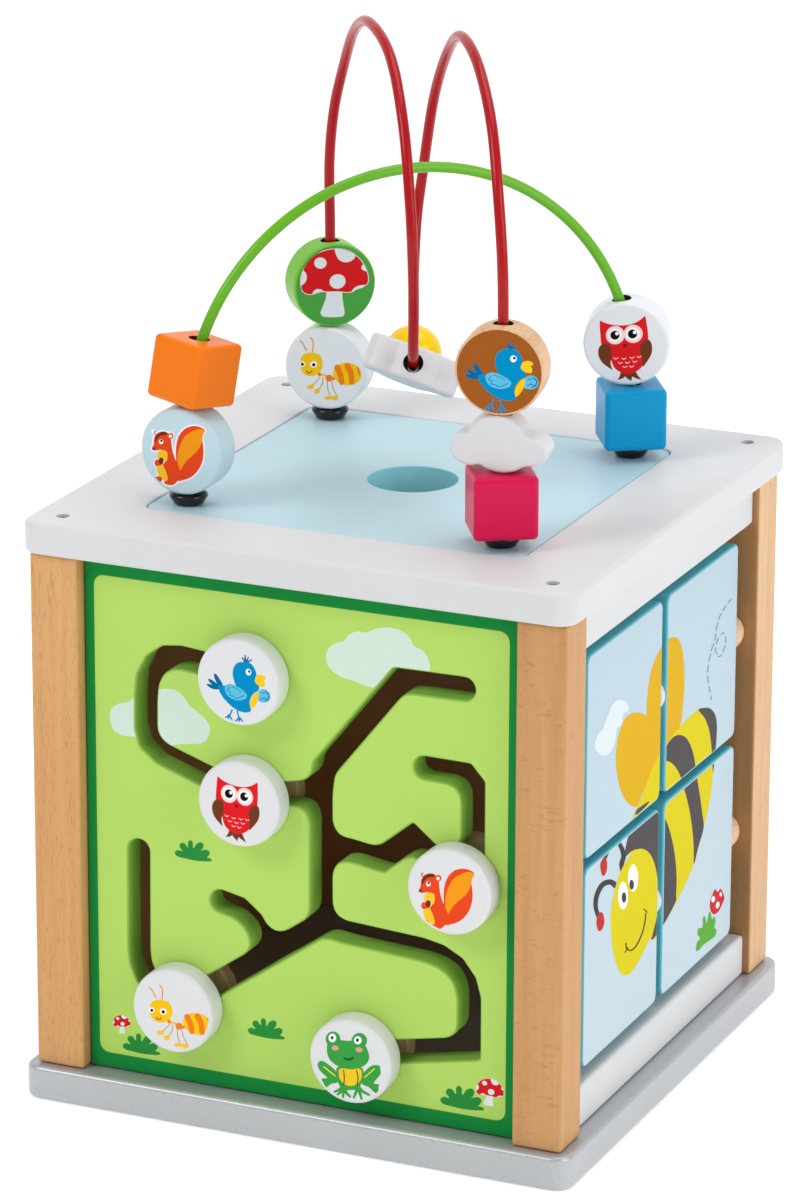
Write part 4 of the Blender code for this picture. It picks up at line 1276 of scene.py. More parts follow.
for tag, zc in ROWS:
    for sd, s in (("front", -1), ("back", 1)):
        yc = s * 44.75
        sky = tile_face("tile_sky_" + tag, (83.5 - 44.5 - zc) * MM, (176.5 + 44.5 - zc) * MM)
        v, f, k = plate(rrect(84, 89, 4, 6), [], -8.25, 8.25, AX_X, r0=1.1, r1=1.1, seg=4)
        ob = raw("tile", v, out_faces(v, f), [TEAL, sky])
        ob.data.polygons.foreach_set("material_index", [1 if abs(p.normal.x) > 0.96 else 0 for p in ob.data.polygons])
        cut(ob, [raw("bore", *lathe([(0, -60), (4.5, -60), (4.5, 60), (0, 60)], 32, AX_Y), [TURNED])])
        settle(ob, "tile_%s_row_%s" % (tag, sd), "tile_%s_%s" % (tag, sd), "tile_%s_%s" % (tag, sd), at(AXLE_X, yc, zc), smooth=30)

# ---------------------------------------------------------------- gear side
LEFT_X0, LEFT_X1 = -110.0, -100.0
GEARS = [("red", (-36.0, 178.0), GEAR_RED), ("yellow", (17.0, 149.0), GEAR_YELLOW), ("green", (-16.0, 98.6), GEAR_GREEN)]


def left():
    ob = round_box("l", (LEFT_X0, -99.2, SIDE_Z0), (LEFT_X1, 99.2, SIDE_Z1), 0.9, 3)
    ob.data.materials.append(PANEL_BLUE)
    apply_all(ob)
    tools = []
    for k, (_, (yc, zc), _m) in enumerate(GEARS):
        v, f = lathe([(0, LEFT_X0 - 6.0), (4.4, LEFT_X0 - 6.0), (5.0, LEFT_X0 - 5.4), (5.0, LEFT_X0 + 4.0 + 0.1 * k), (0, LEFT_X0 + 4.0 + 0.1 * k)], 40,
                     lambda a, b, h, yc=yc, zc=zc: (h, yc + a, zc + b))
        tools.append(raw("pin", v, f, [TURNED]))
    for t in tools:
        b = ob.modifiers.new("u", "BOOLEAN")
        b.operation, b.solver, b.object, b.material_mode = "UNION", "EXACT", t, "TRANSFER"
    apply_all(ob)
    for t in tools:
        bpy.data.objects.remove(t, do_unlink=True)
    ob.data.materials.append(BOARD_BROWN)
    last = len(ob.data.materials) - 1
    for p in ob.data.polygons:
        if p.normal.x > 0.9 and p.center.x > (LEFT_X1 - 0.5) * MM:
            p.material_index = last
    settle(ob, "gear_board", "carcass", "left_panel")


left()
TEETH, MODULE, PRESSURE = 12, 5.0, radians(25)
PITCH_R = TEETH * MODULE / 2


def involute_gear(phase):
    tip, root, base_r = PITCH_R + 0.8 * MODULE, PITCH_R - 1.05 * MODULE, PITCH_R * cos(PRESSURE)

    def inv(r):
        t = acos(min(1.0, base_r / r))
        return tan(t) - t
    half = pi / (2 * TEETH) - 0.25 / PITCH_R
    radii = [base_r + (tip - base_r) * i / 7 for i in range(8)]
    flank = [(r, half + inv(PITCH_R) - inv(r)) for r in radii]
    pts = []
    for k in range(TEETH):
        c = phase + 2 * pi * k / TEETH
        w = flank[0][1]
        foot = [(root, w + 0.11), (root + 0.25, w + 0.055), (root + 0.9, w + 0.015)]
        for r, a in foot + flank:
            pts.append((r * cos(c - a), r * sin(c - a)))
        wt = flank[-1][1]
        for t in (-0.5, 0, 0.5):
            pts.append((tip * cos(c + t * wt), tip * sin(c + t * wt)))
        for r, a in reversed(foot + flank):
            pts.append((r * cos(c + a), r * sin(c + a)))
        nxt = c + 2 * pi / TEETH
        a0, a1 = c + w + 0.11, nxt - w - 0.11
        for t in (0.33, 0.67):
            if a1 > a0 + 0.02:
                pts.append((root * cos(a0 + (a1 - a0) * t), root * sin(a0 + (a1 - a0) * t)))
    return pts


step = 2 * pi / TEETH
(y1, z1), (y2, z2), (y3, z3) = (g[1] for g in GEARS)
a12, a23 = atan2(z2 - z1, y2 - y1), atan2(z3 - z2, y3 - y2)
ph1 = a12
ph2 = a12 + pi + step / 2
ph3 = a23 + pi - (ph2 - a23) % step + step / 2
GEAR_AT = {}
for (tag, (yc, zc), mat), ph in zip(GEARS, (ph1, ph2, ph3)):
    v, f, k = plate(involute_gear(ph), [], LEFT_X0 - 9.3, LEFT_X0 - 0.4, AX_X, r0=0.7, r1=0.5, seg=3)
    ob = raw("g", v, out_faces(v, f), [mat])
    cut(ob, [raw("rec", *lathe([(0, LEFT_X0 - 6.6), (5.4, LEFT_X0 - 6.6), (5.4, LEFT_X0 + 3), (0, LEFT_X0 + 3)], 36, AX_X), [mat])])
    GEAR_AT[tag] = (yc, zc)
    settle(ob, "gear_wheel_" + tag, "gear_" + tag, "gear_" + tag, at(0, yc, zc), smooth=32)

# ---------------------------------------------------------------- clock side
BACK_Y0, BACK_Y1 = 100.0, 110.0
CLOCK_Z = 132.0
put_plate("clock_board", plate([(-99.2, SIDE_Z0), (99.2, SIDE_Z0), (99.2, SIDE_Z1), (-99.2, SIDE_Z1)],
                               [circ(4.35, 40, 0, CLOCK_Z)], BACK_Y0, BACK_Y1, AX_Y, r0=0.7, r1=0.9, hr0=0.3, hr1=0.4, seg=3),
          [PANEL_YELLOW, BOARD_BROWN], "carcass", "back_panel", pick=(1, 0, 0, 0))


def hand_outline(length, w):
    eye = 10.0
    a = atan2(w, sqrt(eye * eye - w * w))
    pts = [(eye * sin(t), eye * cos(t)) for t in [a + (2 * pi - 2 * a) * i / 40 for i in range(41)]]
    return [(-w, length - 22), (-w - 3.5, length - 22), (0, length), (w + 3.5, length - 22), (w, length - 22)] + pts


for tag, length, w, y0, ang, mat in (("minute", 66, 4.0, BACK_Y1 + 0.4, 0, HAND_RED), ("hour", 48, 5.0, BACK_Y1 + 4.3, 60, HAND_BLUE)):
    v, f, k = plate(hand_outline(length, w), [circ(4.4, 40)], y0, y0 + 3.5, AX_Y, r0=0.5, r1=0.7, hr0=0.2, hr1=0.3, seg=3)
    ob = raw("h", v, out_faces(v, f), [mat])
    settle(ob, "clock_hand_" + tag, tag + "_hand", "clock_%s_hand" % tag, at(0, 0, CLOCK_Z, Matrix.Rotation(radians(-ang), 3, "Y")), smooth=32)
prof = [(0, BACK_Y0 + 0.3), (4.0, BACK_Y0 + 0.3), (4.0, BACK_Y1 + 8.2), (7.6, BACK_Y1 + 8.2)] + arc(6.6, BACK_Y1 + 9.6, 1.4, -45, 60, 5) \
    + [(5.0, BACK_Y1 + 11.25), (0, BACK_Y1 + 11.4)]
v, f = lathe(prof, 56, AX_Y)
put("clock_pin_cap", v, f, GEAR_YELLOW, "carcass", "clock_pin", smooth=45, place=at(0, 0, CLOCK_Z))

# ================================================================ pictures
# Each picture is drawn on its own sketch grid; a grid turns sketch units into mm on the
# face it is printed on, measured from the middle of the disc.
def grid(cx, cy, a, b, c, d, s=1.0, sy=None, dx=0.0, dy=0.0):
    sy = s if sy is None else sy
    return lambda shapes: [[(dx + s * (a * (x - cx) + b * (y - cy)), dy + sy * (c * (x - cx) + d * (y - cy))) for x, y in p]
                           for p in shapes]


def sheet_grid(h, s, ox, oy):
    def f(shapes):
        out = []
        for p in shapes:
            q = []
            for x, y in p:
                u, v = ox + x / s, oy + y / s
                w = h[6] * u + h[7] * v + 1
                q.append(((h[0] * u + h[1] * v + h[2]) / w, (h[3] * u + h[4] * v + h[5]) / w))
            out.append(q)
        return out
    return f


def draw(layers, g):
    return [(ink, g(shapes)) for ink, shapes in layers]


def disc_print(name, layers, body, place, face=-7.5, under=None, clip=17.2):
    layers = ([(under, ell(0, 0, clip, n=72))] if under else []) + layers
    return artwork(name, layers, ((0, face, 0), (1, 0, 0), (0, 0, 1)), body, keep=[circ(clip, 72)], lift=0.05, place=place)


def bird_art():
    L = [("bird_dark", pen([(864, 292), (850, 272), (838, 262)], 13, 9) + pen([(866, 288), (862, 262), (860, 246)], 14, 9)
          + pen([(868, 290), (878, 270), (884, 256)], 13, 8) + pen([(872, 292), (890, 280), (908, 268)], 13, 7)),
         ("bird_dark", blob((696, 436), (672, 400), (648, 374), (634, 378), (642, 410), (664, 442), (684, 450))
          + blob((678, 452), (640, 424), (604, 408), (592, 414), (610, 434), (650, 458))
          + blob((672, 462), (630, 444), (586, 438), (584, 448), (614, 466), (650, 470))),
         ("bird_blue", pen([(762, 592), (752, 612), (738, 632)], 11) + pen([(800, 596), (806, 622), (816, 642)], 11)
          + pen([(742, 624), (722, 636), (704, 648)], 13, 8) + pen([(738, 628), (732, 650), (724, 668)], 13, 8)
          + pen([(742, 628), (756, 646), (764, 660)], 13, 8) + pen([(812, 636), (796, 652), (780, 664)], 13, 8)
          + pen([(814, 640), (812, 658), (810, 674)], 13, 8) + pen([(816, 638), (830, 650), (838, 660)], 13, 8)),
         ("bird_light", blob((952, 468), (975, 450), (1010, 450), (1036, 474), (1038, 502), (1016, 526), (980, 530), (950, 520), (936, 500))),
         ("bird_dark", pen([(1004, 462), (1028, 480), (1022, 506), (1000, 518)], 7) + pen([(975, 470), (996, 470)], 5)
          + pen([(970, 512), (992, 500), (1006, 506)], 5)),
         ("bird_yellow", blob((954, 466), (925, 480), (900, 515), (890, 556), (897, 578), (920, 562), (942, 532), (952, 500))),
         ("bird_blue", blob((835, 288), (880, 286), (915, 305), (938, 345), (942, 380), (953, 412), (960, 440), (952, 460),
                            (925, 474), (903, 500), (890, 530), (893, 560), (898, 585), (880, 598), (840, 600), (795, 588),
                            (750, 563), (705, 525), (678, 490), (662, 452), (674, 440), (700, 444), (735, 440), (768, 442),
                            (790, 440), (780, 410), (770, 375), (773, 340), (786, 312), (808, 294), n=4)),
         ("bird_light", blob((710, 452), (728, 434), (762, 430), (806, 444), (848, 468), (870, 492), (858, 516), (815, 528),
                             (765, 522), (724, 496))),
         ("bird_blue", pen([(742, 452), (730, 472), (752, 482), (744, 498), (772, 504), (790, 516), (826, 506), (848, 494)], 6)
          + pen([(762, 446), (800, 456), (828, 474)], 5)),
         ("white", ell(884, 347, 20, 21)),
         ("black", ell(890, 342, 9, 10)),
         ("white", ell(893, 338, 3, 3)),
         ("bird_yellow", blob((930, 392), (940, 370), (962, 360), (992, 364), (1008, 380), (992, 392), (1000, 408), (996, 432),
                              (970, 432), (945, 420), (930, 404)))]
    return L


def owl_art():
    def vee(x, y):
        return pen([(x - 17, y - 6), (x - 3, y + 5), (x + 17, y - 7)], 6, curve=False)
    v = []
    for x, y in ((470, 648), (537, 650), (604, 641), (662, 632), (507, 686), (567, 683), (628, 674), (548, 719), (601, 716)):
        v += vee(x, y)
    return [("owl_brown", poly((512, 762), (506, 800), (487, 832), (530, 816), (548, 799), (572, 820), (603, 837), (605, 818),
                               (608, 799), (645, 816), (686, 826), (657, 792), (636, 758))),
            ("owl_red", poly((330, 326), (358, 341), (392, 353), (430, 361), (470, 366), (508, 367), (548, 364), (588, 356),
                             (622, 343), (652, 326), (678, 306), (701, 282), (709, 305), (716, 345), (724, 385), (730, 430),
                             (735, 490), (732, 540), (726, 600), (716, 650), (700, 692), (682, 722), (655, 748), (622, 766),
                             (590, 775), (556, 776), (520, 768), (492, 754), (468, 736), (450, 712), (440, 686), (420, 640),
                             (395, 600), (352, 560), (342, 500), (336, 440), (331, 380))),
            ("owl_brown", blob((352, 530), (330, 556), (322, 596), (330, 636), (352, 676), (384, 706), (420, 730), (444, 744),
                               (432, 712), (426, 680), (432, 640), (433, 600), (426, 560), (412, 532), (382, 522), n=4)
             + blob((716, 488), (742, 488), (760, 516), (767, 560), (762, 604), (744, 644), (722, 680), (697, 713),
                    (692, 688), (688, 650), (674, 604), (666, 556), (680, 512), n=4)),
            ("owl_pink", ell(460, 450, 77, 78) + ell(608, 437, 78, 77)),
            ("white", ell(458, 450, 56, 58) + ell(606, 438, 58, 57)),
            ("black", ell(458, 450, 38, 38) + ell(602, 438, 38, 38)),
            ("white", ell(474, 436, 15, 15) + ell(620, 424, 15, 15)),
            ("owl_dark", poly((520, 528), (544, 522), (568, 528), (545, 560))),
            ("owl_pink", v)]


def squirrel_art(rim=True):
    tail = ((352, 1130), (358, 1095), (356, 1030), (362, 960), (382, 900), (425, 850), (485, 828), (540, 834), (583, 860),
            (567, 888), (560, 922), (568, 970), (573, 1040), (562, 1110), (530, 1175), (480, 1225), (420, 1250), (370, 1256),
            (345, 1200))
    body = ((181, 970), (184, 930), (197, 895), (226, 876), (262, 870), (294, 884), (314, 918), (322, 970), (332, 1030),
            (350, 1085), (380, 1150), (396, 1200), (378, 1248), (340, 1286), (300, 1291), (265, 1276), (272, 1250), (288, 1230),
            (275, 1180), (252, 1140), (280, 1090), (285, 1040), (255, 1018), (225, 1014), (200, 1021), (176, 1014), (168, 1002))
    halo = [pen(list(tail) + [tail[0]], 26, n=3, ends=6), pen(list(body) + [body[0]], 26, n=3, ends=6)]
    return ([] if not rim else [("white", halo[0] + halo[1] + pen([(190, 880), (178, 868)], 34) + ell(215, 1246, 44, 35) + ell(208, 1115, 30, 36)
             + ell(312, 904, 32, 34) + blob((205, 1140), (250, 1125), (285, 1190), (300, 1250), (260, 1270), (220, 1230), (200, 1180)))]) + [
            ("sq_orange", [spline2(tail, True, 4)]),
            ("sq_amber", blob((383, 1186), (371, 1120), (372, 1045), (392, 970), (430, 906), (480, 872), (535, 852), (583, 864),
                              (568, 900), (562, 940), (540, 1000), (496, 1050), (440, 1100), (405, 1152))),
            ("sq_orange", [spline2(body, True, 4)]),
            ("sq_yellow", blob((216, 1030), (248, 1016), (282, 1026), (290, 1062), (282, 1102), (250, 1090), (214, 1084))
             + blob((204, 1152), (228, 1136), (252, 1136), (275, 1178), (292, 1238), (280, 1258), (244, 1242), (216, 1206))),
            ("sq_orange", ell(208, 1116, 20, 27) + pen([(212, 1128), (244, 1122)], 24) + ell(215, 1246, 34, 24)
             + pen([(192, 892), (186, 876), (198, 868)], 9)),
            ("sq_brown", ell(240, 1100, 20, 26) + blob((190, 938), (199, 905), (224, 882), (260, 871), (292, 884), (270, 898),
                                                       (238, 902), (214, 922), (199, 952))),
            ("sq_orange", ell(314, 905, 23, 25)),
            ("white", ell(312, 907, 12, 14)),
            ("white", ell(240, 950, 17, 20)),
            ("black", ell(242, 942, 9, 10)),
            ("sq_brown", ell(180, 1004, 12, 12))]


def ant_art():
    return [("sq_amber", pen([(220, 897), (245, 925), (268, 972)], 9) + pen([(297, 875), (318, 905), (315, 978)], 9)),
            ("ant_line", pen([(370, 1172), (334, 1212), (308, 1240)], 6) + pen([(390, 1176), (386, 1222), (354, 1270)], 6)
             + pen([(424, 1198), (428, 1260), (444, 1306)], 6) + pen([(457, 1203), (470, 1258), (498, 1312)], 6)),
            ("ant_yellow", ell(298, 1244, 26, 15, 8) + ell(346, 1277, 21, 18) + ell(438, 1325, 38, 13) + ell(482, 1328, 24, 17)
             + pen([(300, 1238), (326, 1222)], 12) + pen([(350, 1268), (372, 1250)], 10)),
            ("ant_yellow", ell(573, 1147, 106, 84, 8) + pen([(372, 1150), (412, 1160)], 17)
             + blob((222, 1066), (232, 1018), (268, 992), (320, 988), (362, 1002), (386, 1044), (386, 1092), (366, 1136),
                    (325, 1160), (280, 1160), (245, 1140), (226, 1106))),
            ("ant_orange", pen([(498, 1098), (522, 1150), (532, 1210)], 44, 40) + pen([(574, 1086), (600, 1140), (606, 1208)], 46, 40)
             + pen([(652, 1100), (664, 1150)], 16) + ell(366, 1150, 14) + ell(438, 1178, 26) + ell(470, 1182, 12)),
            ("white", ell(322, 1075, 26, 24) + ell(238, 1073, 20, 22)),
            ("black", ell(323, 1078, 12, 13) + ell(238, 1074, 11, 12)),
            ("sq_brown", pen([(270, 1126), (288, 1141), (310, 1124)], 7))]


def frog_art():
    toes = []
    for a, b, c in (((345, 1335), (318, 1366), (286, 1380)), ((345, 1340), (345, 1380), (340, 1422)), ((345, 1340), (362, 1384), (388, 1412)),
                    ((345, 1345), (326, 1380), (306, 1398)), ((430, 1335), (428, 1378), (412, 1418)), ((430, 1340), (452, 1390), (464, 1430)),
                    ((434, 1338), (468, 1376), (512, 1400))):
        toes += pen([a, b, c], 24, 14)
    return [("frog_green", toes
             + blob((175, 1200), (190, 1180), (216, 1182), (250, 1205), (290, 1240), (312, 1272), (304, 1318), (262, 1330),
                    (225, 1360), (205, 1356), (216, 1332), (202, 1296), (238, 1290), (208, 1260), (184, 1232))
             + blob((586, 1240), (580, 1212), (555, 1205), (520, 1215), (480, 1250), (460, 1282), (468, 1330), (510, 1350),
                    (550, 1386), (576, 1390), (572, 1358), (576, 1332), (542, 1325), (565, 1292), (586, 1264))
             + blob((312, 1215), (462, 1222), (468, 1290), (455, 1340), (420, 1366), (350, 1366), (316, 1336), (303, 1280))),
            ("sq_yellow", blob((322, 1230), (390, 1226), (455, 1232), (463, 1285), (442, 1322), (400, 1341), (362, 1336), (324, 1302), (314, 1260))),
            ("frog_dark", pen([(346, 1238), (350, 1290), (346, 1338)], 8) + pen([(430, 1238), (440, 1290), (434, 1338)], 8)),
            ("frog_belly", pen([(216, 1216), (290, 1276)], 7) + pen([(546, 1230), (482, 1286)], 7)),
            ("frog_green", ell(276, 1036, 48, 50) + ell(448, 1046, 50, 50)
             + blob((236, 1110), (244, 1062), (290, 1040), (362, 1046), (430, 1050), (480, 1070), (505, 1118), (512, 1160),
                    (495, 1196), (455, 1222), (400, 1233), (345, 1226), (290, 1202), (250, 1162))),
            ("white", ell(272, 1028, 25, 28) + ell(438, 1044, 25, 26)),
            ("black", ell(270, 1027, 9, 11) + ell(436, 1043, 9, 11)),
            ("pink_cheek", ell(290, 1094, 23, 16, 6) + ell(447, 1106, 23, 16, 6)),
            ("frog_dark", blob((344, 1153), (380, 1160), (413, 1150), (404, 1172), (378, 1178), (354, 1170)))]


INKS["pink_cheek"] = (226, 160, 142)


def toadstool_art(rim=True):
    cap = [(228, 492), (226, 440), (238, 385), (265, 330), (308, 278), (368, 240), (440, 218), (520, 214), (590, 232), (645, 268),
           (690, 320), (718, 378), (729, 430), (724, 468), (700, 485), (655, 497), (620, 522), (598, 533), (560, 534), (500, 529),
           (430, 531), (375, 530), (320, 547), (280, 550), (245, 531)]
    stem = [(425, 528), (527, 528), (530, 580), (538, 636), (547, 690), (536, 712), (462, 716), (394, 712), (378, 690), (398, 640), (418, 585)]
    L = []
    if rim:
        L.append(("stem", pen(cap + [cap[0]], 10, n=3, ends=6) + pen(stem + [stem[0]], 14, curve=False, ends=6)))
    return L + [("cap_stem", [stem]),
                ("cap_red", [spline2(cap, True, 3)]),
                ("cap_stem", ell(372, 318, 46, 42) + ell(500, 455, 60, 54, -15)
                 + blob((480, 218), (520, 215), (588, 233), (632, 262), (612, 295), (570, 312), (530, 305), (500, 280), n=4)
                 + blob((228, 484), (230, 420), (244, 376), (266, 398), (270, 430), (258, 462), n=4)
                 + blob((692, 326), (710, 360), (716, 378), (696, 373), (678, 356), n=4)
                 + blob((312, 546), (330, 520), (356, 511), (386, 520), (400, 531), (362, 533), n=4)
                 + blob((606, 530), (630, 500), (665, 485), (708, 482), (690, 500), (652, 512), n=4))]


INKS["cap_stem"] = (226, 232, 236)

G_BIRD = grid(795, 425, 0.06700, 0.00061, 0.00456, -0.06995)
G_BIRD_KNOB = grid(812, 457, 0.06890, 0.00061, 0.00456, -0.06995, 0.92, 1.0, 0.6, -2.6)
G_OWL = grid(547, 495, 0.05174, -0.00884, -0.00677, -0.05475, 1.0, 0.97, 0.0, 2.0)
G_OWL_KNOB = grid(547, 495, 0.05174, -0.00884, -0.00677, -0.05475, 0.93, 0.92, -0.3, 1.4)
G_SQ = grid(392, 1032, 0.05947, -0.00052, 0.00732, -0.05576)
G_SQ_KNOB = grid(392, 1032, 0.05947, -0.00052, 0.00732, -0.05576, 1.0, 1.04, 0.0, -1.2)
G_ANT = grid(409, 1106, 0.06151, -0.00004, 0.00494, -0.06116)
G_ANT_KNOB = grid(409, 1106, 0.06151, -0.00004, 0.00494, -0.06116, 1.04, 0.96, 1.4, -2.0)
G_FROG = grid(385, 1186, 0.07028, 0.00005, 0.01201, -0.06904)
G_TOAD = grid(485, 484, 0.06183, -0.00001, -0.00515, -0.06060)

disc_print("print_bird_coin", draw(bird_art(), G_BIRD), "bird_coin", BIRD_AT, under="brown_face", clip=17.6)
disc_print("print_squirrel_coin", draw(squirrel_art(), G_SQ), "squirrel_coin", SQ_AT)
disc_print("print_ant_coin", draw(ant_art(), G_ANT), "ant_coin", ANT_AT)
disc_print("print_toadstool_coin", draw(toadstool_art(), G_TOAD), "mushroom_coin", MUSH_AT)
disc_print("print_owl_coin", draw(owl_art(), G_OWL), "owl_coin", OWL_AT)
for nm, art, g in (("bird", bird_art, G_BIRD_KNOB), ("owl", owl_art, G_OWL_KNOB), ("squirrel", lambda: squirrel_art(False), G_SQ_KNOB),
                   ("ant", ant_art, G_ANT_KNOB), ("frog", frog_art, G_FROG)):
    x, zc = KNOBS[nm]
    disc_print("print_%s_knob" % nm, draw(art(), g), "knob_" + nm, at(x, 0, zc), face=KNOB_Y, clip=17.0)

# ---------------------------------------------------------------- maze front picture
H_MAZE = (0.449075, -0.000966298, -133.534, 0.0794217, -0.441405, 476.901, 7.99723e-05, -5.53148e-05)
TUFT = [(1055, 1112), (1075, 1098), (1104, 1104), (1085, 1076), (1095, 1052), (1120, 1055), (1140, 1080), (1141, 1046), (1155, 1033),
        (1172, 1045), (1176, 1084), (1198, 1054), (1224, 1045), (1242, 1058), (1238, 1085), (1225, 1100), (1258, 1092), (1282, 1106),
        (1276, 1130), (1264, 1143), (1288, 1150), (1290, 1167), (1200, 1166), (1120, 1152), (1066, 1137)]


def tuft(x, z, s=1.0, flip=False):
    f = -1 if flip else 1
    q = [(x + f * s * 0.0715 * (a - 1172), z + s * (-0.0690 * (b - 1104) + 0.0095 * (a - 1172))) for a, b in TUFT]
    return [spline2(q, True, 4)]


def little_toadstool(x, z, s, rot=0.0):
    out = []
    c, q = cos(radians(rot)), sin(radians(rot))
    for ink, shapes in toadstool_art(True):
        sh = []
        for p in shapes:
            r = []
            for a, b in p:
                u, w = s * 0.0618 * (a - 478), -s * 0.0606 * (b - 465)
                r.append((x + u * c - w * q, z + u * q + w * c))
            sh.append(r)
        out.append((ink, sh))
    return out


def maze_print():
    g15 = sheet_grid(H_MAZE, 6.53, 100, 620)
    g0 = sheet_grid(H_MAZE, 1.0, 0, 0)
    cloud_a = g15(blob((62, 620), (72, 575), (120, 542), (185, 530), (230, 490), (300, 462), (380, 450), (440, 446), (500, 460),
                       (545, 500), (580, 555), (630, 595), (685, 645), (714, 700), (700, 765), (655, 802), (560, 806), (480, 812),
                       (420, 836), (330, 790), (240, 760), (150, 752), (90, 720), (65, 670)))
    cloud_b = g0(blob((325.5, 656), (328, 648), (335, 642.5), (343, 640.5), (349, 634), (357, 631), (366, 632), (375, 628.5),
                      (388, 627), (400, 630), (409, 637), (413, 645), (423, 651), (428.5, 661), (428.5, 671), (421, 680),
                      (405, 685), (385, 688), (368, 686), (352, 680), (338, 675), (328, 666)))
    field = [rrect(188.5, 214.5, 4.5, 6, -0.25, 129.75)]
    edge = [rrect(196.8, 227.8, 0.8, 3, 0, 130)]
    L = [("maze_dark", edge), ("maze_light", field), ("maze_cloud", cloud_a + cloud_b),
         ("grass", tuft(-49.6, 120.5) + tuft(-16.0, 45.6, 1.0) + tuft(-75.0, 28.6, 1.03) + tuft(74.2, 29.6, 1.15))]
    L += little_toadstool(-84.0, 36.4, 0.27, 4) + little_toadstool(87.0, 34.6, 0.40, -3)
    holes = [shift_ring(l if area2(l) < 0 else l[::-1], 0.72) for l in SLOT_LOOPS]
    artwork("print_maze_front", L, ((0, MAZE_Y0, 0), (1, 0, 0), (0, 0, 1)), "carcass", drop=holes, lift=0.04)


maze_print()

# ---------------------------------------------------------------- one bee across the four tiles
H_TILE = (0.869518, 0.0158714, -587.959, -0.331035, -0.34519, 591.006, -0.000340671, -4.76727e-05)


def low(*pts):
    return [(x, y + 1357.2) for x, y in pts]


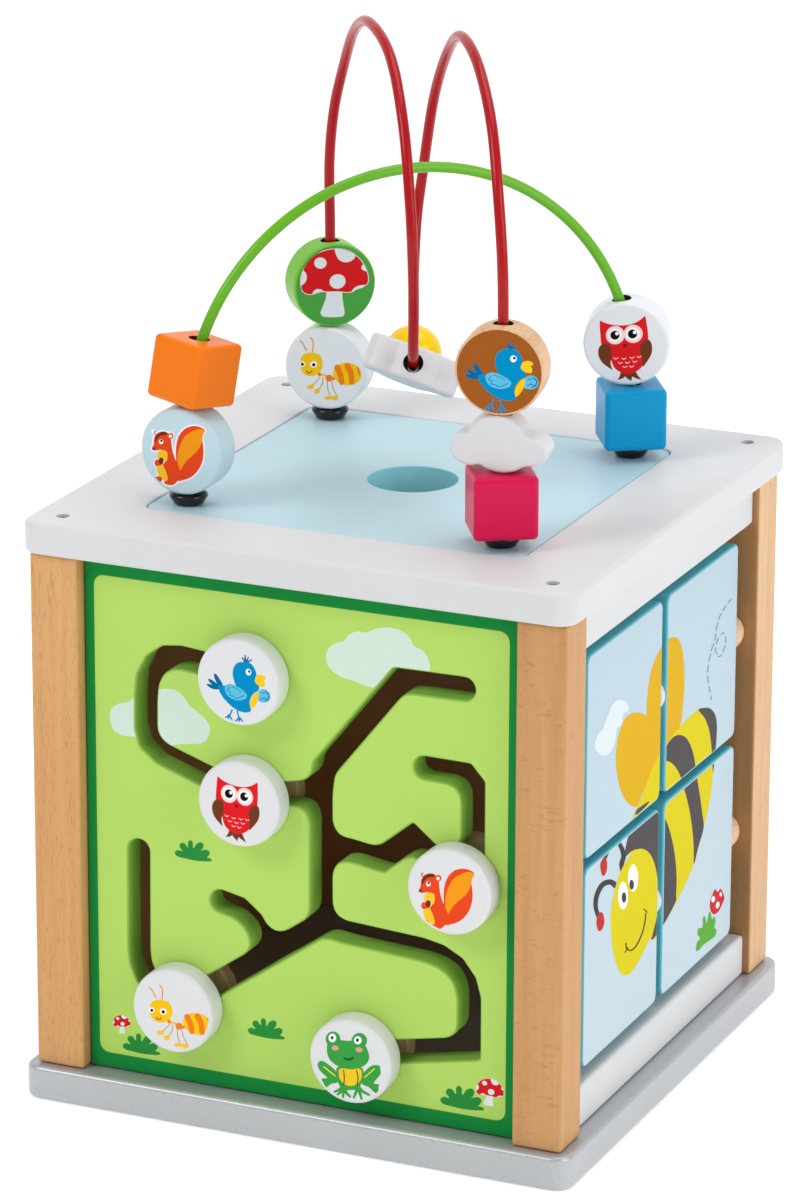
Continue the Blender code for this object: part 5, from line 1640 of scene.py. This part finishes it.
def bee_art():
    g = sheet_grid(H_TILE, 5.22, 575, 540)
    body_y = [(290, 1690), (280, 1560), (300, 1440), (345, 1340), (400, 1190), (455, 1085), (530, 990), (600, 915), (650, 880),
              (695, 875), (725, 905), (736, 960), (735, 1030), (728, 1110), (718, 1220), (700, 1357), (668, 1500), (617, 1690),
              (570, 1800), (528, 1884), (455, 2012), (400, 2085), (330, 1990)]
    grey_tail = [(640, 884), (668, 874), (700, 876), (726, 905), (737, 960), (735, 1040), (726, 1130), (717, 1215), (712, 1130),
                 (706, 1050), (694, 980), (672, 925)]
    grey_mid = [(440, 1160), (470, 1080), (505, 1030), (540, 1015), (575, 1028), (600, 1070), (618, 1130), (632, 1230), (650, 1340),
                (660, 1420), (668, 1500), (640, 1600), (618, 1690), (616, 1620), (612, 1540), (604, 1470), (592, 1400), (575, 1330),
                (556, 1260), (535, 1205), (505, 1165), (470, 1150)]
    grey_low = [(255, 1650), (270, 1560), (292, 1500), (330, 1440), (370, 1418), (405, 1414), (445, 1422), (480, 1480), (505, 1570),
                (520, 1660), (527, 1760), (524, 1850), (520, 1890), (455, 2012), (398, 2086), (405, 2040), (424, 1960), (432, 1860),
                (424, 1760), (404, 1690), (372, 1640), (330, 1612), (292, 1622)]
    grey_sliver = [(312, 1420), (330, 1395), (385, 1360), (360, 1395), (318, 1432)]
    head = [(345, 1609), (378, 1625), (405, 1670), (422, 1735), (431, 1820), (430, 1900), (415, 1980), (392, 2060), (358, 2140),
            (318, 2215), (285, 2258), (262, 2269), (238, 2262), (212, 2215), (194, 2140), (185, 2050), (183, 1970), (192, 1880),
            (212, 1790), (245, 1705), (290, 1640), (320, 1615)]
    wing_u = [(515, 505), (540, 520), (556, 565), (565, 640), (568, 740), (562, 840), (552, 940), (530, 1000), (500, 1040),
              (470, 1090), (445, 1150), (420, 1190), (390, 1130), (374, 1020), (370, 930), (371, 860), (378, 780), (392, 690),
              (420, 610), (455, 545), (488, 512)]
    wing_l = [(315, 898), (350, 905), (378, 925), (400, 980), (420, 1060), (432, 1120), (420, 1180), (400, 1215), (372, 1270),
              (345, 1330), (325, 1380), (305, 1390), (270, 1368), (238, 1310), (218, 1230), (210, 1150), (216, 1060), (236, 975),
              (268, 918)]
    L = [("sky_cloud", g(blob((100, 1080), (112, 1020), (140, 985), (165, 920), (195, 855), (225, 832), (262, 845), (278, 885),
                              (248, 905), (240, 960), (215, 985), (205, 1050), (180, 1105), (135, 1122))))]
    dash = []
    for a, b, c in (((812, 308), (802, 318), (796, 326)), ((786, 340), (776, 354), (770, 366)), ((760, 382), (752, 398), (748, 412)),
                    ((742, 430), (737, 450), (734, 468)), ((732, 486), (730, 504), (728, 520)), ((722, 540), (714, 556), (708, 574)),
                    ((706, 592), (700, 612), (696, 630)), ((694, 650), (690, 670), (690, 686)), ((690, 708), (691, 728), (693, 742)),
                    ((696, 762), (699, 778), (702, 794)), ((705, 812), (708, 826), (709, 832)), ((760, 492), (768, 482), (776, 486)),
                    ((782, 502), (784, 520), (782, 532)), ((780, 550), (774, 568), (768, 580)), ((762, 596), (752, 606), (744, 604)),
                    ((736, 592), (730, 574), (730, 560)), ((734, 540), (740, 522), (746, 510))):
        dash += pen([a, b, c], 6, ends=6)
    L.append(("trail", g(dash)))
    L.append(("wing", g(blob(*wing_l, n=4))))
    L.append(("wing", g(blob(*wing_u, n=4))))
    L.append(("bee_yellow", g(blob(*body_y, n=4))))
    L.append(("bee_grey", g(blob(*grey_tail, n=4) + blob(*grey_mid, n=4) + blob(*grey_low, n=4) + blob(*grey_sliver, n=3))))
    # feelers
    L.append(("bee_line", g(pen(low((246, 370), (240, 330), (250, 290), (236, 240), (212, 210), (190, 222), (168, 262), (152, 300)), 26, 20)
                            + pen(low((210, 445), (180, 425), (140, 440), (112, 490), (104, 550), (118, 605)), 30, 22))))
    L.append(("sky_cloud", []))
    L.append(("bee_red", g(blob(*low((128, 340), (140, 305), (158, 300), (165, 345), (155, 385), (138, 390))) +
                           blob(*low((108, 630), (120, 590), (140, 586), (150, 630), (140, 670), (122, 682), (112, 665))))))
    L.append(("bee_yellow", g(blob(*head, n=5))))
    L.append(("white", g(ell(300, 1357 + 405, 26, 72, 0) + ell(247, 1357 + 497, 26, 72, 0))))
    L.append(("bee_line", g(ell(292, 1357 + 440, 12, 26) + ell(252, 1357 + 506, 12, 27))))
    L.append(("black", g(pen(low((262, 745), (266, 772), (290, 782), (320, 752), (348, 690), (362, 630), (366, 590)), 7)
                         + pen(low((258, 792), (272, 768)), 6) + pen(low((356, 566), (374, 584)), 6))))
    # flower and leaves
    L.append(("leaf", g(blob(*low((628, 784), (632, 744), (650, 718), (636, 700), (640, 668), (662, 662), (664, 614), (674, 604),
                                  (684, 640), (694, 590), (704, 584), (712, 620), (722, 604), (730, 626), (724, 662), (735, 676),
                                  (728, 706), (700, 730), (668, 752), (646, 778)), n=4))))
    L.append(("flower_red", g(blob(*low((704, 575), (700, 535), (712, 495), (728, 462), (742, 478), (756, 460), (770, 484), (776, 510),
                                        (764, 545), (745, 580), (722, 594)), n=4))))
    L.append(("white", g(ell(718, 1357 + 516, 9, 17, 10) + ell(741, 1357 + 546, 9, 18, 10) + ell(757, 1357 + 490, 6, 11))))
    return [l for l in L if l[1]]


BEE = bee_art()
for tag, zc in ROWS:
    for sd, s in (("front", -1), ("back", 1)):
        yc = s * 44.75
        keep = [rrect(84 - 2.2, 89 - 2.2, 3, 6, yc, zc)]
        artwork("print_bee_%s_%s" % (tag, sd), BEE, ((116.85, 0, 0), (0, 1, 0), (0, 0, 1)), "tile_%s_%s" % (tag, sd), keep=keep, lift=0.04)

# ---------------------------------------------------------------- plain pictures on the other sides
def petals(cx, cy, r, rx, ry, n, a0=0):
    out = []
    for i in range(n):
        a = a0 + 360 * i / n
        out += ell(cx + r * cos(radians(a)), cy + r * sin(radians(a)), rx, ry, a)
    return out


def star(cx, cy, r, k=0.45, n=5, a0=90):
    return poly(*[(cx + (r if i % 2 == 0 else r * k) * cos(radians(a0 + 180 * i / n)),
                   cy + (r if i % 2 == 0 else r * k) * sin(radians(a0 + 180 * i / n))) for i in range(2 * n)])


def puffs(cx, cy, s):
    return blob((cx - 15 * s, cy - 4 * s), (cx - 13 * s, cy + 2 * s), (cx - 7 * s, cy + 3.5 * s), (cx - 3 * s, cy + 8 * s), (cx + 4 * s, cy + 7.5 * s),
                (cx + 8 * s, cy + 3.5 * s), (cx + 14 * s, cy + 2 * s), (cx + 15 * s, cy - 3.5 * s), (cx + 8 * s, cy - 6 * s), (cx - 8 * s, cy - 6 * s))


def flower_pic():
    return [("leaf_dark", pen([(0, -34), (1, -18), (0, 4)], 3.2)),
            ("leaf", blob((0, -26), (8, -26), (17, -18), (21, -9), (12, -11), (4, -17)) + blob((0, -30), (-8, -28), (-16, -22), (-20, -12), (-11, -15), (-4, -22))),
            ("petal", petals(0, 12, 11.5, 8.5, 7.0, 7, 12)), ("sun", ell(0, 12, 8.2)), ("ant_orange", ell(0, 12, 4.0))]


def butterfly_pic():
    return [("clock_blue", blob((2, 3), (12, 24), (26, 27), (29, 14), (20, 4), (6, 0)) + blob((-2, 3), (-12, 24), (-26, 27), (-29, 14), (-20, 4), (-6, 0))),
            ("bird_light", blob((2, -2), (17, -2), (24, -12), (18, -23), (8, -18)) + blob((-2, -2), (-17, -2), (-24, -12), (-18, -23), (-8, -18))),
            ("bee_yellow", ell(17, 16, 4.6) + ell(-17, 16, 4.6) + ell(14, -11, 3.4) + ell(-14, -11, 3.4)),
            ("ink_navy", pen([(0, 12), (0, -18)], 4.4, ends=8) + ell(0, 15, 3.4) + pen([(1, 17), (4, 24), (9, 28)], 1.2) + pen([(-1, 17), (-4, 24), (-9, 28)], 1.2))]


def ladybird_pic():
    return [("black", ell(0, 20, 11, 8.5) + pen([(4, 26), (8, 32), (13, 33)], 1.5) + pen([(-4, 26), (-8, 32), (-13, 33)], 1.5)),
            ("flower_red", ell(0, -2, 22, 23)),
            ("black", pen([(0, 20), (0, -24.6)], 1.6, curve=False, ends=4) + ell(10, 8, 4.2) + ell(-10, 8, 4.2) + ell(12, -8, 3.8) + ell(-12, -8, 3.8) + ell(6.5, -17, 2.8) + ell(-6.5, -17, 2.8)),
            ("white", ell(5, 22, 2.6) + ell(-5, 22, 2.6)), ("ink_navy", ell(5, 22, 1.2) + ell(-5, 22, 1.2))]


def snail_pic():
    return [("sq_amber", blob((-31, -24), (-10, -22), (14, -22), (24, -16), (25, 0), (21, 10), (26, 15), (31, 10), (33, -4), (30, -20), (20, -28), (-8, -30), (-28, -29))
             + pen([(25, 12), (22, 22)], 1.8) + pen([(29, 12), (31, 23)], 1.8) + ell(22, 23, 2.2) + ell(31, 24, 2.2)),
            ("clock_green", ell(-4, -3, 22, 21)), ("frog_belly", pen([(-4, -3), (1, -1), (1, 5), (-6, 7), (-12, 1), (-10, -9), (0, -13), (11, -8), (13, 3), (8, 12)], 2.6)),
            ("white", ell(28, 4, 2.0)), ("black", ell(28.4, 4, 1.0))]


def turned(layers, yc, zc):
    return [(ink, [[(-(yc + x), zc - y) for x, y in p] for p in shapes]) for ink, shapes in layers]


BACK_PICS = {("top", "front"): butterfly_pic, ("top", "back"): flower_pic, ("low", "front"): snail_pic, ("low", "back"): ladybird_pic}
for tag, zc in ROWS:
    for sd, s in (("front", -1), ("back", 1)):
        yc = s * 44.75
        field = [("panel_cloud", [rrect(76, 81, 6, 8)])] + BACK_PICS[(tag, sd)]()
        artwork("print_tile_back_%s_%s" % (tag, sd), turned(field, yc, zc), ((AXLE_X - 8.25, 0, 0), (0, -1, 0), (0, 0, 1)),
                "tile_%s_%s" % (tag, sd), keep=[rrect(81.8, 86.8, 3, 6, -yc, zc)], lift=0.04)


def meadow(w, z0, z1):
    hill = poly(*([(-w, z0)] + [(-w + 2 * w * i / 24, z0 + 30 + 9 * sin(2 * pi * i / 24 * 1.2 + 0.6)) for i in range(25)] + [(w, z0)]))
    hill2 = poly(*([(-w, z0)] + [(-w + 2 * w * i / 24, z0 + 17 + 7 * sin(2 * pi * i / 24 * 1.6 + 2.4)) for i in range(25)] + [(w, z0)]))
    return hill, hill2


def small_flower(x, z, ink, s=1.0):
    return [("leaf_dark", pen([(x, z - 11 * s), (x + 0.6 * s, z - 4 * s), (x, z)], 1.4 * s)), (ink, petals(x, z, 3.4 * s, 2.7 * s, 2.2 * s, 6)), ("sun", ell(x, z, 2.4 * s))]


hill, hill2 = meadow(94.2, 25.0, 235.0)
rays = []
for i in range(12):
    a = radians(30 * i + 8)
    rays += pen([(56 + 21 * cos(a), 206 + 21 * sin(a)), (56 + 27 * cos(a), 206 + 27 * sin(a))], 3.2, curve=False, ends=6)
side_pic = [("bird_light", [rrect(188.5, 210.0, 4.5, 6, 0, 130)]), ("panel_cloud", puffs(-52, 212, 1.35) + puffs(-4, 222, 0.9) + puffs(70, 160, 0.9) + puffs(-72, 118, 0.85)),
            ("sun", ell(56, 206, 16.5) + rays), ("hill", hill), ("grass", hill2)]
for x, z, ink, s in ((-78, 58, "petal", 1.2), (-56, 50, "flower_red", 1.0), (-22, 47, "petal", 1.0), (20, 56, "flower_red", 1.25), (48, 50, "petal", 1.0), (78, 60, "flower_red", 1.15)):
    side_pic += small_flower(x, z, ink, s)
artwork("print_gear_board", side_pic, ((LEFT_X0, 0, 0), (0, -1, 0), (0, 0, 1)), "carcass", keep=[rrect(188.5, 210.0, 4.5, 6, 0, 130)],
        drop=[circ(5.6, 32, -yc, zc)[::-1] for _, (yc, zc), _m in GEARS], lift=0.04)
for tag, rim, dots in (("red", "sun", "white"), ("yellow", "clock_red", "white"), ("green", "sun", "white")):
    yc, zc = GEAR_AT[tag]
    L = [("white", ell(0, 0, 20.5, n=64)), (rim, ell(0, 0, 18.6, n=64)), (dots, petals(0, 0, 10.4, 5.0, 3.6, 6)), ("clock_blue", ell(0, 0, 5.2))]
    artwork("print_gear_" + tag, L, ((LEFT_X0 - 9.3, 0, 0), (0, -1, 0), (0, 0, 1)), "gear_" + tag, keep=[circ(20.5, 64)], lift=0.04, place=at(0, yc, zc))

# ---------------------------------------------------------------- clock face
STROKES = {"0": [[(0.5, 0), (0.08, 0.45), (0.08, 1.05), (0.5, 1.5), (0.92, 1.05), (0.92, 0.45), (0.5, 0)]],
           "1": [[(0.22, 1.15), (0.55, 1.5)], [(0.55, 1.5), (0.55, 0)]],
           "2": [[(0.1, 1.15), (0.3, 1.46), (0.68, 1.46), (0.88, 1.12), (0.7, 0.72), (0.1, 0.02)], [(0.1, 0.02), (0.95, 0.02)]],
           "3": [[(0.12, 1.3), (0.45, 1.5), (0.84, 1.25), (0.78, 0.9), (0.42, 0.79)], [(0.42, 0.79), (0.84, 0.66), (0.9, 0.28), (0.5, 0), (0.1, 0.2)]],
           "4": [[(0.7, 0), (0.7, 1.5)], [(0.7, 1.5), (0.05, 0.42)], [(0.05, 0.42), (0.98, 0.42)]],
           "5": [[(0.86, 1.5), (0.24, 1.5)], [(0.24, 1.5), (0.17, 0.84)], [(0.17, 0.84), (0.52, 0.97), (0.9, 0.7), (0.86, 0.24), (0.48, 0), (0.1, 0.16)]],
           "6": [[(0.78, 1.46), (0.38, 1.22), (0.12, 0.78), (0.12, 0.32), (0.46, 0), (0.86, 0.22), (0.86, 0.66), (0.5, 0.86), (0.18, 0.62)]],
           "7": [[(0.08, 1.5), (0.94, 1.5)], [(0.94, 1.5), (0.56, 0.8), (0.4, 0)]],
           "8": [[(0.5, 0.8), (0.16, 1.05), (0.22, 1.42), (0.5, 1.52), (0.78, 1.42), (0.84, 1.05), (0.5, 0.8), (0.1, 0.5), (0.14, 0.12), (0.5, 0), (0.86, 0.12), (0.9, 0.5), (0.5, 0.8)]],
           "9": [[(0.22, 0.04), (0.62, 0.28), (0.88, 0.72), (0.88, 1.18), (0.54, 1.5), (0.14, 1.28), (0.14, 0.84), (0.5, 0.64), (0.82, 0.88)]]}


def numeral(text, cx, cy, h, w):
    s = h / 1.5
    adv = 1.22 * s
    x0 = cx - (len(text) * adv - 0.22 * s) / 2
    out = []
    for i, ch in enumerate(text):
        for st in STROKES[ch]:
            out += pen([(x0 + i * adv + a * s, cy - h / 2 + b * s) for a, b in st], w, curve=len(st) > 2, ends=6)
    return out


nums, ticks, hours = [], [], []
for k in range(1, 13):
    a = radians(90 - 30 * k)
    nums += numeral(str(k), 49.5 * cos(a), CLOCK_Z + 49.5 * sin(a), 11.5, 2.3)
for k in range(60):
    a = radians(6 * k)
    r0 = 60.0 if k % 5 else 58.4
    (hours if k % 5 == 0 else ticks).extend(pen([(r0 * cos(a), CLOCK_Z + r0 * sin(a)), (63.0 * cos(a), CLOCK_Z + 63.0 * sin(a))], 0.9 if k % 5 else 2.0, curve=False, ends=4))
dial = [("clock_blue", ell(0, CLOCK_Z, 72, 72, n=96)), ("clock_ring", ell(0, CLOCK_Z, 65.5, 65.5, n=96)), ("ink_navy", nums + hours), ("clock_blue", ticks),
        ("sun", ell(0, CLOCK_Z, 12)), ("clock_red", star(-72, 214, 13) + [rrect(20, 20, 3, 5, 72, 48)]), ("clock_green", ell(72, 213, 11.5) + poly((-84, 38), (-60, 38), (-72, 59)))]
artwork("print_clock_board", dial, ((0, BACK_Y1, 0), (-1, 0, 0), (0, 0, 1)), "carcass", keep=[rrect(188.5, 210.0, 4.5, 6, 0, 130)],
        drop=[circ(4.9, 32, 0, CLOCK_Z)[::-1]], lift=0.04)
